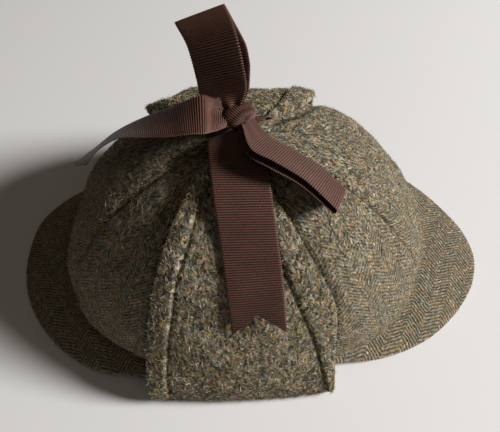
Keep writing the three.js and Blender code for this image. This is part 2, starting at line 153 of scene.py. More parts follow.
def blended(tree, factor, first, second, way="MIX"):
    """Two colours mixed by a Mix node."""
    node = add_node(tree, "ShaderNodeMix", {"data_type": "RGBA", "blend_type": way})
    for place, value in ((0, factor), (6, first), (7, second)):
        if isinstance(value, bpy.types.NodeSocket):
            tree.links.new(value, node.inputs[place])
        else:
            node.inputs[place].default_value = value
    return node.outputs[2]


def new_material(name):
    material = bpy.data.materials.new(name)
    material.use_nodes = True
    material.node_tree.nodes.clear()
    return material, material.node_tree


print("node helpers ready")

# %% [markdown]
# ## Floor and light
# The real hat lies on a pale sheet beside a window. The floor here is plain and pale. One soft area
# light stands in for the window, low on the right of the hat, and a weak one above fills in.

# %% Floor
floor_mesh = bpy.data.meshes.new("floor")
FLOOR_REACH = 6.0
corners = [(x * FLOOR_REACH, y * FLOOR_REACH, 0) for x, y in ((-1, -1), (1, -1), (1, 1), (-1, 1))]
floor_mesh.from_pydata(corners, [], [(0, 1, 2, 3)])
floor = add_object("floor", floor_mesh)
floor_material, floor_tree = new_material("pale_floor")
floor_shader = add_node(floor_tree, "ShaderNodeBsdfPrincipled", Base_Color=(0.72, 0.72, 0.73, 1),
                        Roughness=0.9)
add_node(floor_tree, "ShaderNodeOutputMaterial", Surface=floor_shader.outputs[0])
floor_mesh.materials.append(floor_material)
print("floor", FLOOR_REACH * 2, "m wide")

# %% Lights
HAT_MIDDLE = Vector((0, 0, 0.07))


def area_light(name, direction, distance, size, power, colour):
    data = bpy.data.lights.new(name, "AREA")
    data.shape, data.size, data.energy, data.color = "DISK", size, power, colour
    light = add_object(name, data)
    way = Vector(direction).normalized()
    light.location = HAT_MIDDLE + way * distance
    light.rotation_mode = "QUATERNION"
    light.rotation_quaternion = way.to_track_quat("Z", "Y")


area_light("window", (0.86, -0.17, 0.54), 3.0, 0.9, 150, (1.0, 0.98, 0.95))
area_light("ceiling", (0.1, -0.5, 1.0), 2.2, 1.8, 2.2, (1.0, 0.97, 0.92))
world = bpy.data.worlds.new("room")
bpy.context.scene.world = world
world.use_nodes = True
background = world.node_tree.nodes["Background"].inputs
background["Color"].default_value = (1.0, 0.76, 0.50, 1)
background["Strength"].default_value = 0.045
bpy.context.scene.view_settings.view_transform = "Standard"

# %% [markdown]
# ## The crown's surface
# Everything on the hat lies on or over one dome, so its formula comes first. In plan it is a
# superellipse, a little squarer than an oval, and so is its height. These are the same sizes, in
# millimetres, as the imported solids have.

# %% Sizes of the crown
CROWN_HALF_LENGTH, CROWN_HALF_WIDTH, CROWN_HEIGHT = 119.0, 98.0, 128.0
WIDEST_HEIGHT, RIM_HEIGHT, RIM_TUCK = 28.0, 12.0, 10.5
PLAN_POWER, DOME_POWER = 2.22, 1.8
PANEL_WALL, PANEL_PUFF, TOP_HOLE, SEAM_GAP = 3.0, 1.2, 1.6, 0.3
LOW_SHARE = 0.15
SEAMS = [-20, 20, 65, 115, 160, 200, 245, 295, 340]


def outline_radius(angle, half_length, half_width, power):
    along = np.abs(np.cos(angle)) / half_length
    across = np.abs(np.sin(angle)) / half_width
    return (along ** power + across ** power) ** (-1 / power)


def outline_side(x, half_length, half_width, power):
    share = np.minimum(np.abs(x) / half_length, 1)
    return half_width * (1 - share ** power) ** (1 / power)


def crown_point(angle, rise):
    """Points of the crown: angle in plan, rise from 0 at the rim to 1 at the top."""
    down = np.clip(1 - rise / LOW_SHARE, 0, 1)
    last_turn = math.acos((TOP_HOLE / CROWN_HALF_LENGTH) ** (DOME_POWER / 2))
    turned = np.clip((rise - LOW_SHARE) / (1 - LOW_SHARE), 0, 1) * last_turn
    low = rise < LOW_SHARE
    share = np.where(low, 1 - RIM_TUCK / CROWN_HALF_LENGTH * down ** 2, np.cos(turned) ** (2 / DOME_POWER))
    dome = WIDEST_HEIGHT + (CROWN_HEIGHT - WIDEST_HEIGHT) * np.sin(turned) ** (2 / DOME_POWER)
    height = np.where(low, WIDEST_HEIGHT + (RIM_HEIGHT - WIDEST_HEIGHT) * down, dome)
    radius = share * outline_radius(angle, CROWN_HALF_LENGTH, CROWN_HALF_WIDTH, PLAN_POWER)
    return np.stack([radius * np.cos(angle), radius * np.sin(angle), height], -1)


def unit(v):
    return v / np.maximum(np.linalg.norm(v, axis=-1, keepdims=True), 1e-9)


def crown_normal(angle, rise):
    step = 0.002
    around = crown_point(angle + step, rise) - crown_point(angle - step, rise)
    upward = crown_point(angle, np.minimum(rise + step, 1)) - crown_point(angle, np.maximum(rise - step, 0))
    return unit(np.cross(around, upward))


def over_crown(x, degrees, over):
    """Points over the crown: x, degrees from level at the near side over the top, and a distance."""
    x, degrees, over = np.broadcast_arrays(*(np.asarray(v, float) for v in (x, degrees, over)))
    angle = np.radians(degrees)
    near, far = np.zeros(x.shape), np.full(x.shape, 3 * CROWN_HALF_LENGTH)
    for _ in range(40):
        distance = (near + far) / 2
        along = np.abs(x) / (CROWN_HALF_LENGTH + over)
        across = np.abs(np.cos(angle) * distance) / (CROWN_HALF_WIDTH + over)
        upward = np.abs(np.sin(angle) * distance) / (CROWN_HEIGHT - WIDEST_HEIGHT + over)
        level = (along ** PLAN_POWER + across ** PLAN_POWER) ** (DOME_POWER / PLAN_POWER)
        inside = level + upward ** DOME_POWER < 1
        near, far = np.where(inside, distance, near), np.where(inside, far, distance)
    return np.stack([x, -np.cos(angle) * near, WIDEST_HEIGHT + np.sin(angle) * near], -1)


print("crown top at", crown_point(np.array(0.0), np.array(1.0)).round(2))

# %% [markdown]
# ## Cloth shells
# Each piece of cloth is a grid of points with a second grid behind it, closed along its edges. The
# grid carries a UV map in metres, so that a weave keeps its real scale, and a value that says which
# side has the nap. Wool never lies quite flat, so a slow ripple moves whole neighbourhoods together.

# %% Ripple and shells
def ripple(points, wavelength, seed):
    """A smooth bumpy field from -1 to 1, the same at the same place for every piece."""
    rng = np.random.default_rng(seed)
    field = np.zeros(points.shape[:-1])
    waves = 9
    for _ in range(waves):
        way = rng.normal(size=3)
        way /= np.linalg.norm(way)
        length = wavelength * rng.uniform(0.7, 1.6)
        field += np.sin(points @ way * (math.tau / length) + rng.uniform(0, math.tau))
    return field / math.sqrt(waves)


def cloth_ripple(points):
    """The hat's own unevenness, in millimetres: slow dents, and the cockle of felted wool."""
    return 0.75 * ripple(points, 46, 11) + 0.30 * ripple(points, 17, 12) + 0.10 * ripple(points, 6, 13)


def grid_normals(grid):
    return unit(np.cross(np.gradient(grid, axis=0), np.gradient(grid, axis=1)))


def arc_lengths(grid, axis):
    """Lengths along a grid's rows or columns, from 0 at its first line, in its own units."""
    steps = np.linalg.norm(np.diff(grid, axis=axis), axis=-1)
    zero = np.zeros_like(np.take(steps, [0], axis=axis))
    return np.concatenate([zero, np.cumsum(steps, axis=axis)], axis=axis)


def edge_round(distance, radius):
    """From 0 at an edge to 1 at a radius from it, as a rounded edge falls away."""
    inside = np.clip(distance / radius, 0, 1)
    return np.sqrt(np.clip(1 - (1 - inside) ** 2, 0, 1))


def smooth_table(places, values, wanted):
    """Values of a table at the wanted places, on a smooth curve through its rows."""
    values = np.asarray(values, float)
    slopes = np.gradient(values, places, axis=0)
    at = np.clip(np.searchsorted(places, wanted, side="right") - 1, 0, len(places) - 2)
    width = places[at + 1] - places[at]
    t = ((wanted - places[at]) / width).reshape((-1,) + (1,) * (values.ndim - 1))
    width = width.reshape(t.shape)
    return ((2 * t ** 3 - 3 * t ** 2 + 1) * values[at] + (t ** 3 - 2 * t ** 2 + t) * width * slopes[at]
            + (3 * t ** 2 - 2 * t ** 3) * values[at + 1] + (t ** 3 - t ** 2) * width * slopes[at + 1])


def store(mesh, title, values):
    """A value for each corner point of a mesh, for materials and Geometry Nodes to read."""
    layer = mesh.attributes.new(title, "FLOAT", "POINT")
    layer.data.foreach_set("value", values.astype(np.float32))


def shell(name, outer, inner, uv, material, along=None, nap=1.0, painted_crease_shade=0.0):
    """A closed piece between two grids in millimetres, with its UV map in metres. nap says where the
    wool stands up, and the painted shade value darkens the colour where two edges meet and keep the light
    out."""
    rows, columns = outer.shape[:2]
    count = rows * columns
    points = np.concatenate([outer.reshape(-1, 3), inner.reshape(-1, 3)]) * MM
    index = np.arange(count).reshape(rows, columns)
    a, b, c, d = index[:-1, :-1], index[:-1, 1:], index[1:, 1:], index[1:, :-1]
    front = np.stack([a, b, c, d], -1).reshape(-1, 4)
    back = np.stack([a, d, c, b], -1).reshape(-1, 4) + count
    rim = np.concatenate([index[0], index[1:, -1], index[-1, -2::-1], index[-2:0:-1, 0]])
    following = np.roll(rim, -1)
    edge = np.stack([rim, rim + count, following + count, following], -1)
    faces = np.concatenate([front, back, edge])
    p = points[faces]
    volume = np.einsum("ij,ij->i", p[:, 0], np.cross(p[:, 1], p[:, 2]) + np.cross(p[:, 2], p[:, 3])).sum()
    flat_uv = np.concatenate([uv.reshape(-1, 2)] * 2) * MM
    corner_uv = flat_uv[faces]
    step = flat_uv[following] - flat_uv[rim]
    outward = np.stack([step[:, 1], -step[:, 0]], -1) / np.maximum(np.hypot(*step.T), 1e-9)[:, None]
    wall = np.linalg.norm(points[rim + count] - points[rim], axis=1)[:, None]
    corner_uv[-len(edge):, 1] += outward * wall  # the cloth turns over the edge
    corner_uv[-len(edge):, 2] += outward * np.roll(wall, -1, axis=0)
    if volume < 0:
        faces, corner_uv = faces[:, ::-1], corner_uv[:, ::-1]
    mesh = bpy.data.meshes.new(name)
    mesh.vertices.add(len(points))
    mesh.vertices.foreach_set("co", points.ravel())
    mesh.loops.add(faces.size)
    mesh.loops.foreach_set("vertex_index", faces.ravel().astype(np.int32))
    mesh.polygons.add(len(faces))
    mesh.polygons.foreach_set("loop_start", np.arange(0, faces.size, 4, dtype=np.int32))
    mesh.update(calc_edges=True)
    mesh.polygons.foreach_set("use_smooth", np.ones(len(faces), bool))
    layer = mesh.uv_layers.new(name="cloth")
    layer.data.foreach_set("uv", corner_uv.ravel().astype(np.float32))
    for title, field in (("nap", nap), ("painted_crease_shade", painted_crease_shade)):
        values = np.broadcast_to(field, (rows, columns)).ravel()
        store(mesh, title, np.concatenate([values, 0 * values]))
    if along is not None:
        store(mesh, "along", np.tile(along.ravel(), 2) * MM)
    mesh.validate()
    mesh.materials.append(material)
    return add_object(name, mesh)


def settle(piece, slot, *nodes):
    """Rides the piece on the hat and hides the solids that it stands for; slot is not used."""
    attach(piece, BODY)
    if nodes:
        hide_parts(*nodes)
    return piece


print("shell helpers ready")

# %% [markdown]
# ## Tweed
# The cloth is a heathered herringbone: columns about 10 mm wide, in which fine diagonal lines run up
# one way and then the other. Each line is a row of short floats, where one yarn passes over the others,
# and each float shows another mixture of dyed wool. The columns come from folding one coordinate back
# and forth, and the diagonals from adding it to the other. Cells as large as a float carry the colours.

# %% Tweed material
COLUMN_WIDTH, TWILL_PITCH, TWILL_SLOPE = 10.0, 2.6, 0.8
PALE_TUFTS = [
    (0.00, (0.360, 0.305, 0.225)), (0.24, (0.500, 0.445, 0.345)), (0.42, (0.400, 0.295, 0.225)),
    (0.56, (0.410, 0.320, 0.120)), (0.68, (0.270, 0.285, 0.185)), (0.78, (0.290, 0.320, 0.315)),
    (0.87, (0.390, 0.180, 0.095)), (0.93, (0.640, 0.590, 0.480)),
]
DARK_TUFTS = [
    (0.00, (0.036, 0.030, 0.020)), (0.26, (0.070, 0.065, 0.037)), (0.46, (0.095, 0.085, 0.060)),
    (0.62, (0.040, 0.060, 0.080)), (0.72, (0.125, 0.060, 0.032)), (0.82, (0.070, 0.090, 0.042)),
    (0.91, (0.155, 0.110, 0.040)),
]


def tweed(name, weave, mottle, felt, floats, patchy):
    """weave, mottle and patchy are the contrast of the twill, of single floats and of whole patches."""
    material, tree = new_material(name)
    uv = add_node(tree, "ShaderNodeUVMap", {"uv_map": "cloth"}).outputs[0]
    cloth = vectors(tree, "SCALE", uv, scale=1000.0)
    drift, curl = noise(tree, cloth, 0.22)["Color"], noise(tree, cloth, 0.9)["Color"]
    for strayed, amount in ((drift, 2.0), (curl, felt)):
        strayed = vectors(tree, "SUBTRACT", strayed, (0.5, 0.5, 0.5))
        cloth = vectors(tree, "ADD", cloth, vectors(tree, "SCALE", strayed, scale=amount))
    x, y, _ = split_xyz(tree, cloth)
    fold = sums(tree, "PINGPONG", x, COLUMN_WIDTH)
    rising = sums(tree, "MULTIPLY_ADD", fold, TWILL_SLOPE, y)
    wave = sums(tree, "SINE", times(tree, rising, math.tau / TWILL_PITCH))
    # towards the top the twill fades to salt-and-pepper, and the colour there is painted darker and more
    # speckled, as painted shade of light grazing the top
    height = split_xyz(tree, add_node(tree, "ShaderNodeTexCoord").outputs["Object"])[2]
    painted_top_shade = add_node(tree, "ShaderNodeMapRange", Value=height, From_Min=0.068, From_Max=0.115, To_Min=0.0,
                    To_Max=1.0).outputs[0]

    float_place = add_node(tree, "ShaderNodeCombineXYZ", X=sums(tree, "DIVIDE", x, floats[0]),
                           Y=sums(tree, "DIVIDE", rising, floats[1])).outputs[0]
    cells = add_node(tree, "ShaderNodeTexVoronoi", {"voronoi_dimensions": "2D"}, Scale=1.0,
                     Vector=float_place)
    pick = add_node(tree, "ShaderNodeSeparateColor", Color=cells.outputs["Color"])
    fibres = noise(tree, cloth, 2.2, 3.0, 0.7)[0]
    patches = noise(tree, cloth, 0.13)[0]
    patch = sums(tree, "MULTIPLY_ADD", patches, 1.1, 0.45)
    hue = sums(tree, "FRACT", plus(tree, pick.outputs[0], patch))
    pale, dark = ramp(tree, hue, PALE_TUFTS, steps=True), ramp(tree, hue, DARK_TUFTS, steps=True)

    twill = times(tree, wave, sums(tree, "MULTIPLY_ADD", painted_top_shade, -0.28 * weave, 0.5 * weave))
    speck = times(tree, minus(tree, pick.outputs[1], 0.5),
                 sums(tree, "MULTIPLY_ADD", painted_top_shade, 0.9, mottle))
    shade = plus(tree, plus(tree, twill, speck), sums(tree, "MULTIPLY_ADD", painted_top_shade, -0.10, 0.5))
    shade = plus(tree, shade, times(tree, minus(tree, fibres, 0.5), 1.1))
    patched = plus(tree, shade, times(tree, minus(tree, patches, 0.5), patchy))
    factor = add_node(tree, "ShaderNodeClamp", Value=patched).outputs[0]
    colour = blended(tree, factor, dark, pale)
    tone = ramp(tree, patches, [(0.34, (0.90, 0.99, 1.02)), (0.50, (1.0, 1.0, 1.0)),
                                (0.66, (1.10, 0.98, 0.88))])
    colour = blended(tree, 1.0, colour, tone, "MULTIPLY")
    # painted shade: seams, border grooves and the gaps under the flaps' edges are darkened, down to 8 % of
    # the colour
    painted_crease_shade = add_node(tree, "ShaderNodeAttribute", {"attribute_name": "painted_crease_shade"}).outputs["Fac"]
    deep = ramp(tree, painted_crease_shade, [(0.0, (1, 1, 1)), (1.0, (0.08, 0.08, 0.08))])
    colour = blended(tree, 1.0, colour, deep, "MULTIPLY")
    bump = add_node(tree, "ShaderNodeBump", Height=shade, Strength=1.0, Distance=0.0009)
    shader = add_node(tree, "ShaderNodeBsdfPrincipled", Base_Color=colour, Roughness=0.92,
                      Normal=bump.outputs[0], Specular_IOR_Level=0.18, Sheen_Weight=0.12,
                      Sheen_Roughness=0.45, Sheen_Tint=(0.85, 0.78, 0.62, 1))
    add_node(tree, "ShaderNodeOutputMaterial", Surface=shader.outputs[0])
    return material


crown_tweed = tweed("crown_tweed", weave=0.62, mottle=0.60, felt=0.9, floats=(0.9, 1.8), patchy=0.5)
peak_tweed = tweed("peak_tweed", weave=0.82, mottle=0.45, felt=0.8, floats=(0.9, 1.8), patchy=0.4)
flap_tweed = tweed("flap_tweed", weave=0.15, mottle=1.55, felt=1.8, floats=(1.3, 2.4), patchy=1.6)
print("tweed:", crown_tweed.name, peak_tweed.name, flap_tweed.name)

# %% [markdown]
# ## Grosgrain
# The ribbon is grosgrain: a fine warp laid over thick wefts, which makes ribs straight across it. The
# ribs themselves will be real relief. The material adds painted shade between the ribs, a painted broken
# sparkle where warp threads catch the light, and a soft satin gloss.

# %% Grosgrain material
RIB_PITCH, THREAD_PITCH = 1.37, 0.9


def grosgrain(name):
    material, tree = new_material(name)
    uv = add_node(tree, "ShaderNodeUVMap", {"uv_map": "cloth"}).outputs[0]
    place = vectors(tree, "SCALE", uv, scale=1000.0)
    x, y, _ = split_xyz(tree, place)
    rib_phase = times(tree, y, math.tau / RIB_PITCH)
    rib = sums(tree, "MULTIPLY_ADD", sums(tree, "COSINE", rib_phase), 0.5, 0.5)
    thread_phase = times(tree, x, math.tau / THREAD_PITCH)
    thread = sums(tree, "MULTIPLY_ADD", sums(tree, "SINE", thread_phase), 0.5, 0.5)
    stretched = vectors(tree, "MULTIPLY", place, (1.6, 0.35, 1.0))
    grain, wear = noise(tree, stretched, 1.4, 3.0)[0], noise(tree, place, 0.06)[0]
    # painted highlight and shade: rib crests and warp threads are painted lighter and the hollows between
    # ribs darker, over the real ribs
    light = plus(tree, times(tree, rib, 0.52), times(tree, thread, 0.26))
    light = plus(tree, light, times(tree, minus(tree, grain, 0.5), 0.6))
    colour = ramp(tree, light, [(0.05, (0.011, 0.0042, 0.003)), (0.45, (0.084, 0.038, 0.028)),
                                (0.95, (0.235, 0.128, 0.100))])
    tone = ramp(tree, wear, [(0.3, (0.86, 0.84, 0.84)), (0.7, (1.12, 1.06, 1.02))])
    colour = blended(tree, 1.0, colour, tone, "MULTIPLY")
    height = plus(tree, times(tree, thread, 0.5), grain)
    bump = add_node(tree, "ShaderNodeBump", Height=height, Strength=0.5, Distance=0.00012)
    shader = add_node(tree, "ShaderNodeBsdfPrincipled", Base_Color=colour, Roughness=0.52,
                      Normal=bump.outputs[0], Specular_IOR_Level=0.25, Sheen_Weight=0.03,
                      Sheen_Roughness=0.35, Sheen_Tint=(0.75, 0.52, 0.45, 1))
    add_node(tree, "ShaderNodeOutputMaterial", Surface=shader.outputs[0])
    return material


ribbon_grosgrain = grosgrain("ribbon_grosgrain")
print("ribs every", RIB_PITCH, "mm")

# %% [markdown]
# ## Peaks
# A peak is a stiffened shelf of doubled tweed that slopes from under the rim to the surface. Its edge
# is turned over a rounded fold. The shell follows the solid's slope, and its edge falls away in an arc.

# %% Peaks
HAT_HALF_LENGTH, PEAK_HALF_WIDTH, PEAK_POWER = 160.0, 95.0, 2.35
PEAK_THICKNESS, PEAK_SIDE_LIFT, PEAK_CAMBER, PEAK_GAP = 3.5, 5.0, 2.4, 1.2
FLAP_HALF_WIDTH, FLAP_CENTRE = 57.6, -4.7
RIM_SHARE = 1 - RIM_TUCK / CROWN_HALF_LENGTH
PEAK_ROWS, PEAK_COLUMNS = 44, 150
WEAVE_TURN = math.radians(23)


def rim_side(x, out):
    """How far out to the side the crown's rim lies at x, moved out by a distance."""
    return outline_side(x, CROWN_HALF_LENGTH * RIM_SHARE + out, CROWN_HALF_WIDTH * RIM_SHARE + out,
                        PLAN_POWER)


def crowded(count, ends, radius):
    """Places from 0 to 1 with extra ones near the chosen ends: 1 is both, 2 the last alone."""
    even = np.linspace(0, 1, count - 5 * (2 if ends == 1 else 1))
    extra = radius * np.array([0.06, 0.2, 0.42, 0.7, 1.0])
    near = extra if ends == 1 else []
    inside = even[(even > (radius * 1.2 if ends == 1 else 0)) & (even < 1 - radius * 1.2)]
    return np.unique(np.concatenate([[0.0], near, inside, 1 - extra, [1.0]]))


# how far each edge departs from its oval, in mm at even steps from its near end to its far end
TRIM_RIGHT = [-3, -3.1, -1.6, -1.9, -2.7, -4.1, -3.6, -0.5, 2.3, 0.7, -2.1, -1.8, 0.5, 0, 0, 0, 0]
TRIM_LEFT = [-3.5, -3.5, -1.0, -1.6, -3.3, -4.9, -4.7, -3.3, -1.5, -0.5, 2.2, 2.8, 2.4, 0.5, 0, 0, 0]


def peak(name, node, side, near, far, tip, trim):
    flap_edge = FLAP_HALF_WIDTH + side * FLAP_CENTRE + PEAK_GAP
    seat = -PANEL_WALL / 2
    inner_end = math.atan2(float(rim_side(flap_edge, seat)), flap_edge)
    inner_height = RIM_HEIGHT - SEAM_GAP - PEAK_THICKNESS / 2
    out = crowded(PEAK_ROWS, 2, 0.04)[:, None]
    share = 2 * crowded(PEAK_COLUMNS, 1, 0.012)[None, :] - 1
    half_width = PEAK_HALF_WIDTH * np.where(share < 0, near, far)
    outer_side = outline_side(flap_edge, HAT_HALF_LENGTH, half_width, PEAK_POWER)
    inner_angle = share * inner_end
    outer_angle = share * np.arctan2(outer_side, flap_edge)
    inner_radius = outline_radius(
        inner_angle, CROWN_HALF_LENGTH * RIM_SHARE + seat, CROWN_HALF_WIDTH * RIM_SHARE + seat, PLAN_POWER)
    outer_radius = outline_radius(outer_angle, HAT_HALF_LENGTH, half_width, PEAK_POWER)
    outer_radius += smooth_table(np.linspace(-1, 1, len(trim)), trim, share.ravel())[None, :]
    outer_x = outer_radius * np.cos(outer_angle)
    outer_y = outer_radius * np.sin(outer_angle) + tip * PEAK_HALF_WIDTH * (1 - np.abs(share)) ** 0.5
    x = inner_radius * np.cos(inner_angle) * (1 - out) + outer_x * out
    y = inner_radius * np.sin(inner_angle) * (1 - out) + outer_y * out
    edge_height = PEAK_THICKNESS / 2 + PEAK_SIDE_LIFT * share ** 2
    bow = PEAK_CAMBER * np.sin(math.pi * out) ** 1.5 * (1 - share ** 2)
    z = inner_height * (1 - out) + edge_height * out + bow
    middle = np.stack([side * x, y, z], -1)
    to_edge = arc_lengths(middle[::-1], 0)[::-1]
    across = arc_lengths(middle, 1)
    to_end = np.minimum(across, across[:, -1:] - across)
    rounded = edge_round(to_edge, 2.6) * edge_round(to_end, 2.0)
    half = 0.12 + (PEAK_THICKNESS / 2 - 0.12) * rounded
    fade = np.clip(to_edge / 12, 0, 1) * np.clip(out * 8, 0, 1)
    wave = (0.35 * ripple(middle, 40, 21) + 0.14 * ripple(middle, 9, 22)) * fade
    top, bottom = middle.copy(), middle.copy()
    top[..., 2] += half + wave
    bottom[..., 2] -= half
    turned = side * WEAVE_TURN
    u = middle[..., 0] * math.cos(turned) - middle[..., 1] * math.sin(turned)
    v = middle[..., 0] * math.sin(turned) + middle[..., 1] * math.cos(turned)
    piece = shell(name, top, bottom, np.stack([u + 400, v + 400], -1), peak_tweed)
    return settle(piece, "peak_tweed", node)


peak_right = peak("peak_right_tweed", "peak_right", 1, 0.955, 1.04, -0.06, TRIM_RIGHT)
peak_left = peak("peak_left_tweed", "peak_left", -1, 1.06, 0.96, 0.02, TRIM_LEFT)
print("peaks", len(peak_right.data.polygons), "faces each")

# %% [markdown]
# ## Ear flaps
# Each flap hangs from the rim, turns up in a soft fold and lies back over the crown. A table gives its
# left and right edges for each height, how wide the turned border is, and how far a loose edge stands
# off. Smooth curves through the table's rows give the outline, and the border is a real step.

# %% Tables of the flaps
FLAP_THICKNESS, FLAP_CLEARANCE, FOLD_OUT, FOLD_BOW = 4.0, 0.9, 8.2, 3.4
FOLD_RELEASE, BORDER_WIDTH, BORDER_RISE, BORDER_STEP, FLAP_LIFT = 60.0, 12.0, 1.4, 3.0, 10.0
FLAP_OVER = PANEL_PUFF + FLAP_CLEARANCE + FLAP_THICKNESS / 2
# share of the way out from the rim to the fold, share of the rim's height
FOLD_ROWS = np.array([(0, 1), (0, 0.5), (0.16, 0.08), (0.35, 0), (0.68, 0), (0.93, 0.3), (1, 0.85)])
# degrees around, left edge, right edge, left border, right border, left lift, right lift
NEAR_FLAP = np.array([
    (0, -0.98, 0.99, 0.95, 0.50, 0.10, 0.00), (15, -0.93, 0.99, 1.00, 0.95, 0.10, 0.00),
    (31, -0.84, 0.96, 1.00, 1.55, 0.10, 0.10), (42, -0.76, 0.82, 0.95, 1.45, 0.15, 0.15),
    (50, -0.67, 0.70, 0.95, 1.25, 0.15, 0.20), (59, -0.57, 0.56, 0.90, 1.10, 0.15, 0.20),
    (66, -0.47, 0.43, 0.80, 0.90, 0.10, 0.10), (79, -0.22, 0.30, 0.40, 0.40, 0.00, 0.00)])
FAR_FLAP = np.array([
    (0, -0.98, 0.99, 1.00, 1.00, 0.10, 0.10), (20, -1.00, 0.98, 1.00, 1.00, 0.20, 0.20),
    (40, -1.00, 0.96, 1.00, 1.00, 0.10, 0.20), (52, -0.96, 0.93, 1.00, 1.10, 0.10, 0.28),
    (60, -0.88, 0.90, 1.00, 1.20, 0.10, 0.30), (68, -0.74, 0.82, 0.90, 1.10, 0.20, 0.28),
    (75, -0.55, 0.70, 0.70, 0.80, 0.30, 0.20), (82, -0.20, 0.45, 0.30, 0.30, 0.10, 0.00)])


# %% Ear flaps
FLAP_ROWS_FINE = 150
BORDER_LIFTS = np.array([0.6, 0.9, 1, 0.85, 0.3, 0, 0.3, 0.85, 1, 0.9, 0.6])
FINE_Q = np.concatenate([[0, 0.02, 0.07, 0.15, 0.26, 0.4], np.linspace(0.55, 1.75, 7),
                         np.linspace(1.85, 3, 14), np.linspace(3.12, 5, 17)])
FLAP_Q = np.concatenate([FINE_Q, 10 - FINE_Q[-2::-1]])
# the border is two more layers of cloth, and its stitching pulls a groove along its inner edge
BORDER_Q = [0, 0.5, 1.0, 1.7, 1.95, 2.15, 2.4, 2.7, 3.0, 3.4, 5]
BORDER_SHAPE = [0.8, 1.05, 0.9, 1.15, 0.9, -0.3, -0.9, -0.5, -0.15, 0, 0]


def flap_columns(left, right, left_hem, right_hem):
    """Places along X of a flap's eleven named columns, for each row."""
    left_end, right_end = left + left_hem, right - right_hem
    middle = (left_end + right_end) / 2
    lists = [left, left + 0.45 * left_hem, left_end, left_end + BORDER_STEP,
             (left_end + BORDER_STEP + middle) / 2, middle, (right_end - BORDER_STEP + middle) / 2,
             right_end - BORDER_STEP, right_end, right - 0.45 * right_hem, right]
    return np.stack(lists, -1)


def along_columns(anchors, eased=False):
    """Values at the fine columns from the eleven named ones."""
    low = np.clip(np.floor(FLAP_Q).astype(int), 0, 9)
    part = FLAP_Q - low
    if eased:
        part = part * part * (3 - 2 * part)
    return anchors[..., low] * (1 - part) + anchors[..., low + 1] * part


def fold_line(x):
    across = (x - FLAP_CENTRE) / FLAP_HALF_WIDTH
    return CROWN_HALF_WIDTH + FOLD_OUT - FOLD_BOW * across ** 2


# where the far flap stands fuller or lies flatter than its table: place, spread and height, all in mm
FAR_SWELLS = [((-29, 66, 104), 13, 4.2), ((15, 66, 106), 15, -2.8)]


def swells(points, places):
    """Heights of soft round bumps at the given places."""
    lift = np.zeros(points.shape[:-1])
    for place, spread, amount in places:
        lift += amount * np.exp(-((points - np.array(place)) ** 2).sum(-1) / spread ** 2)
    return lift


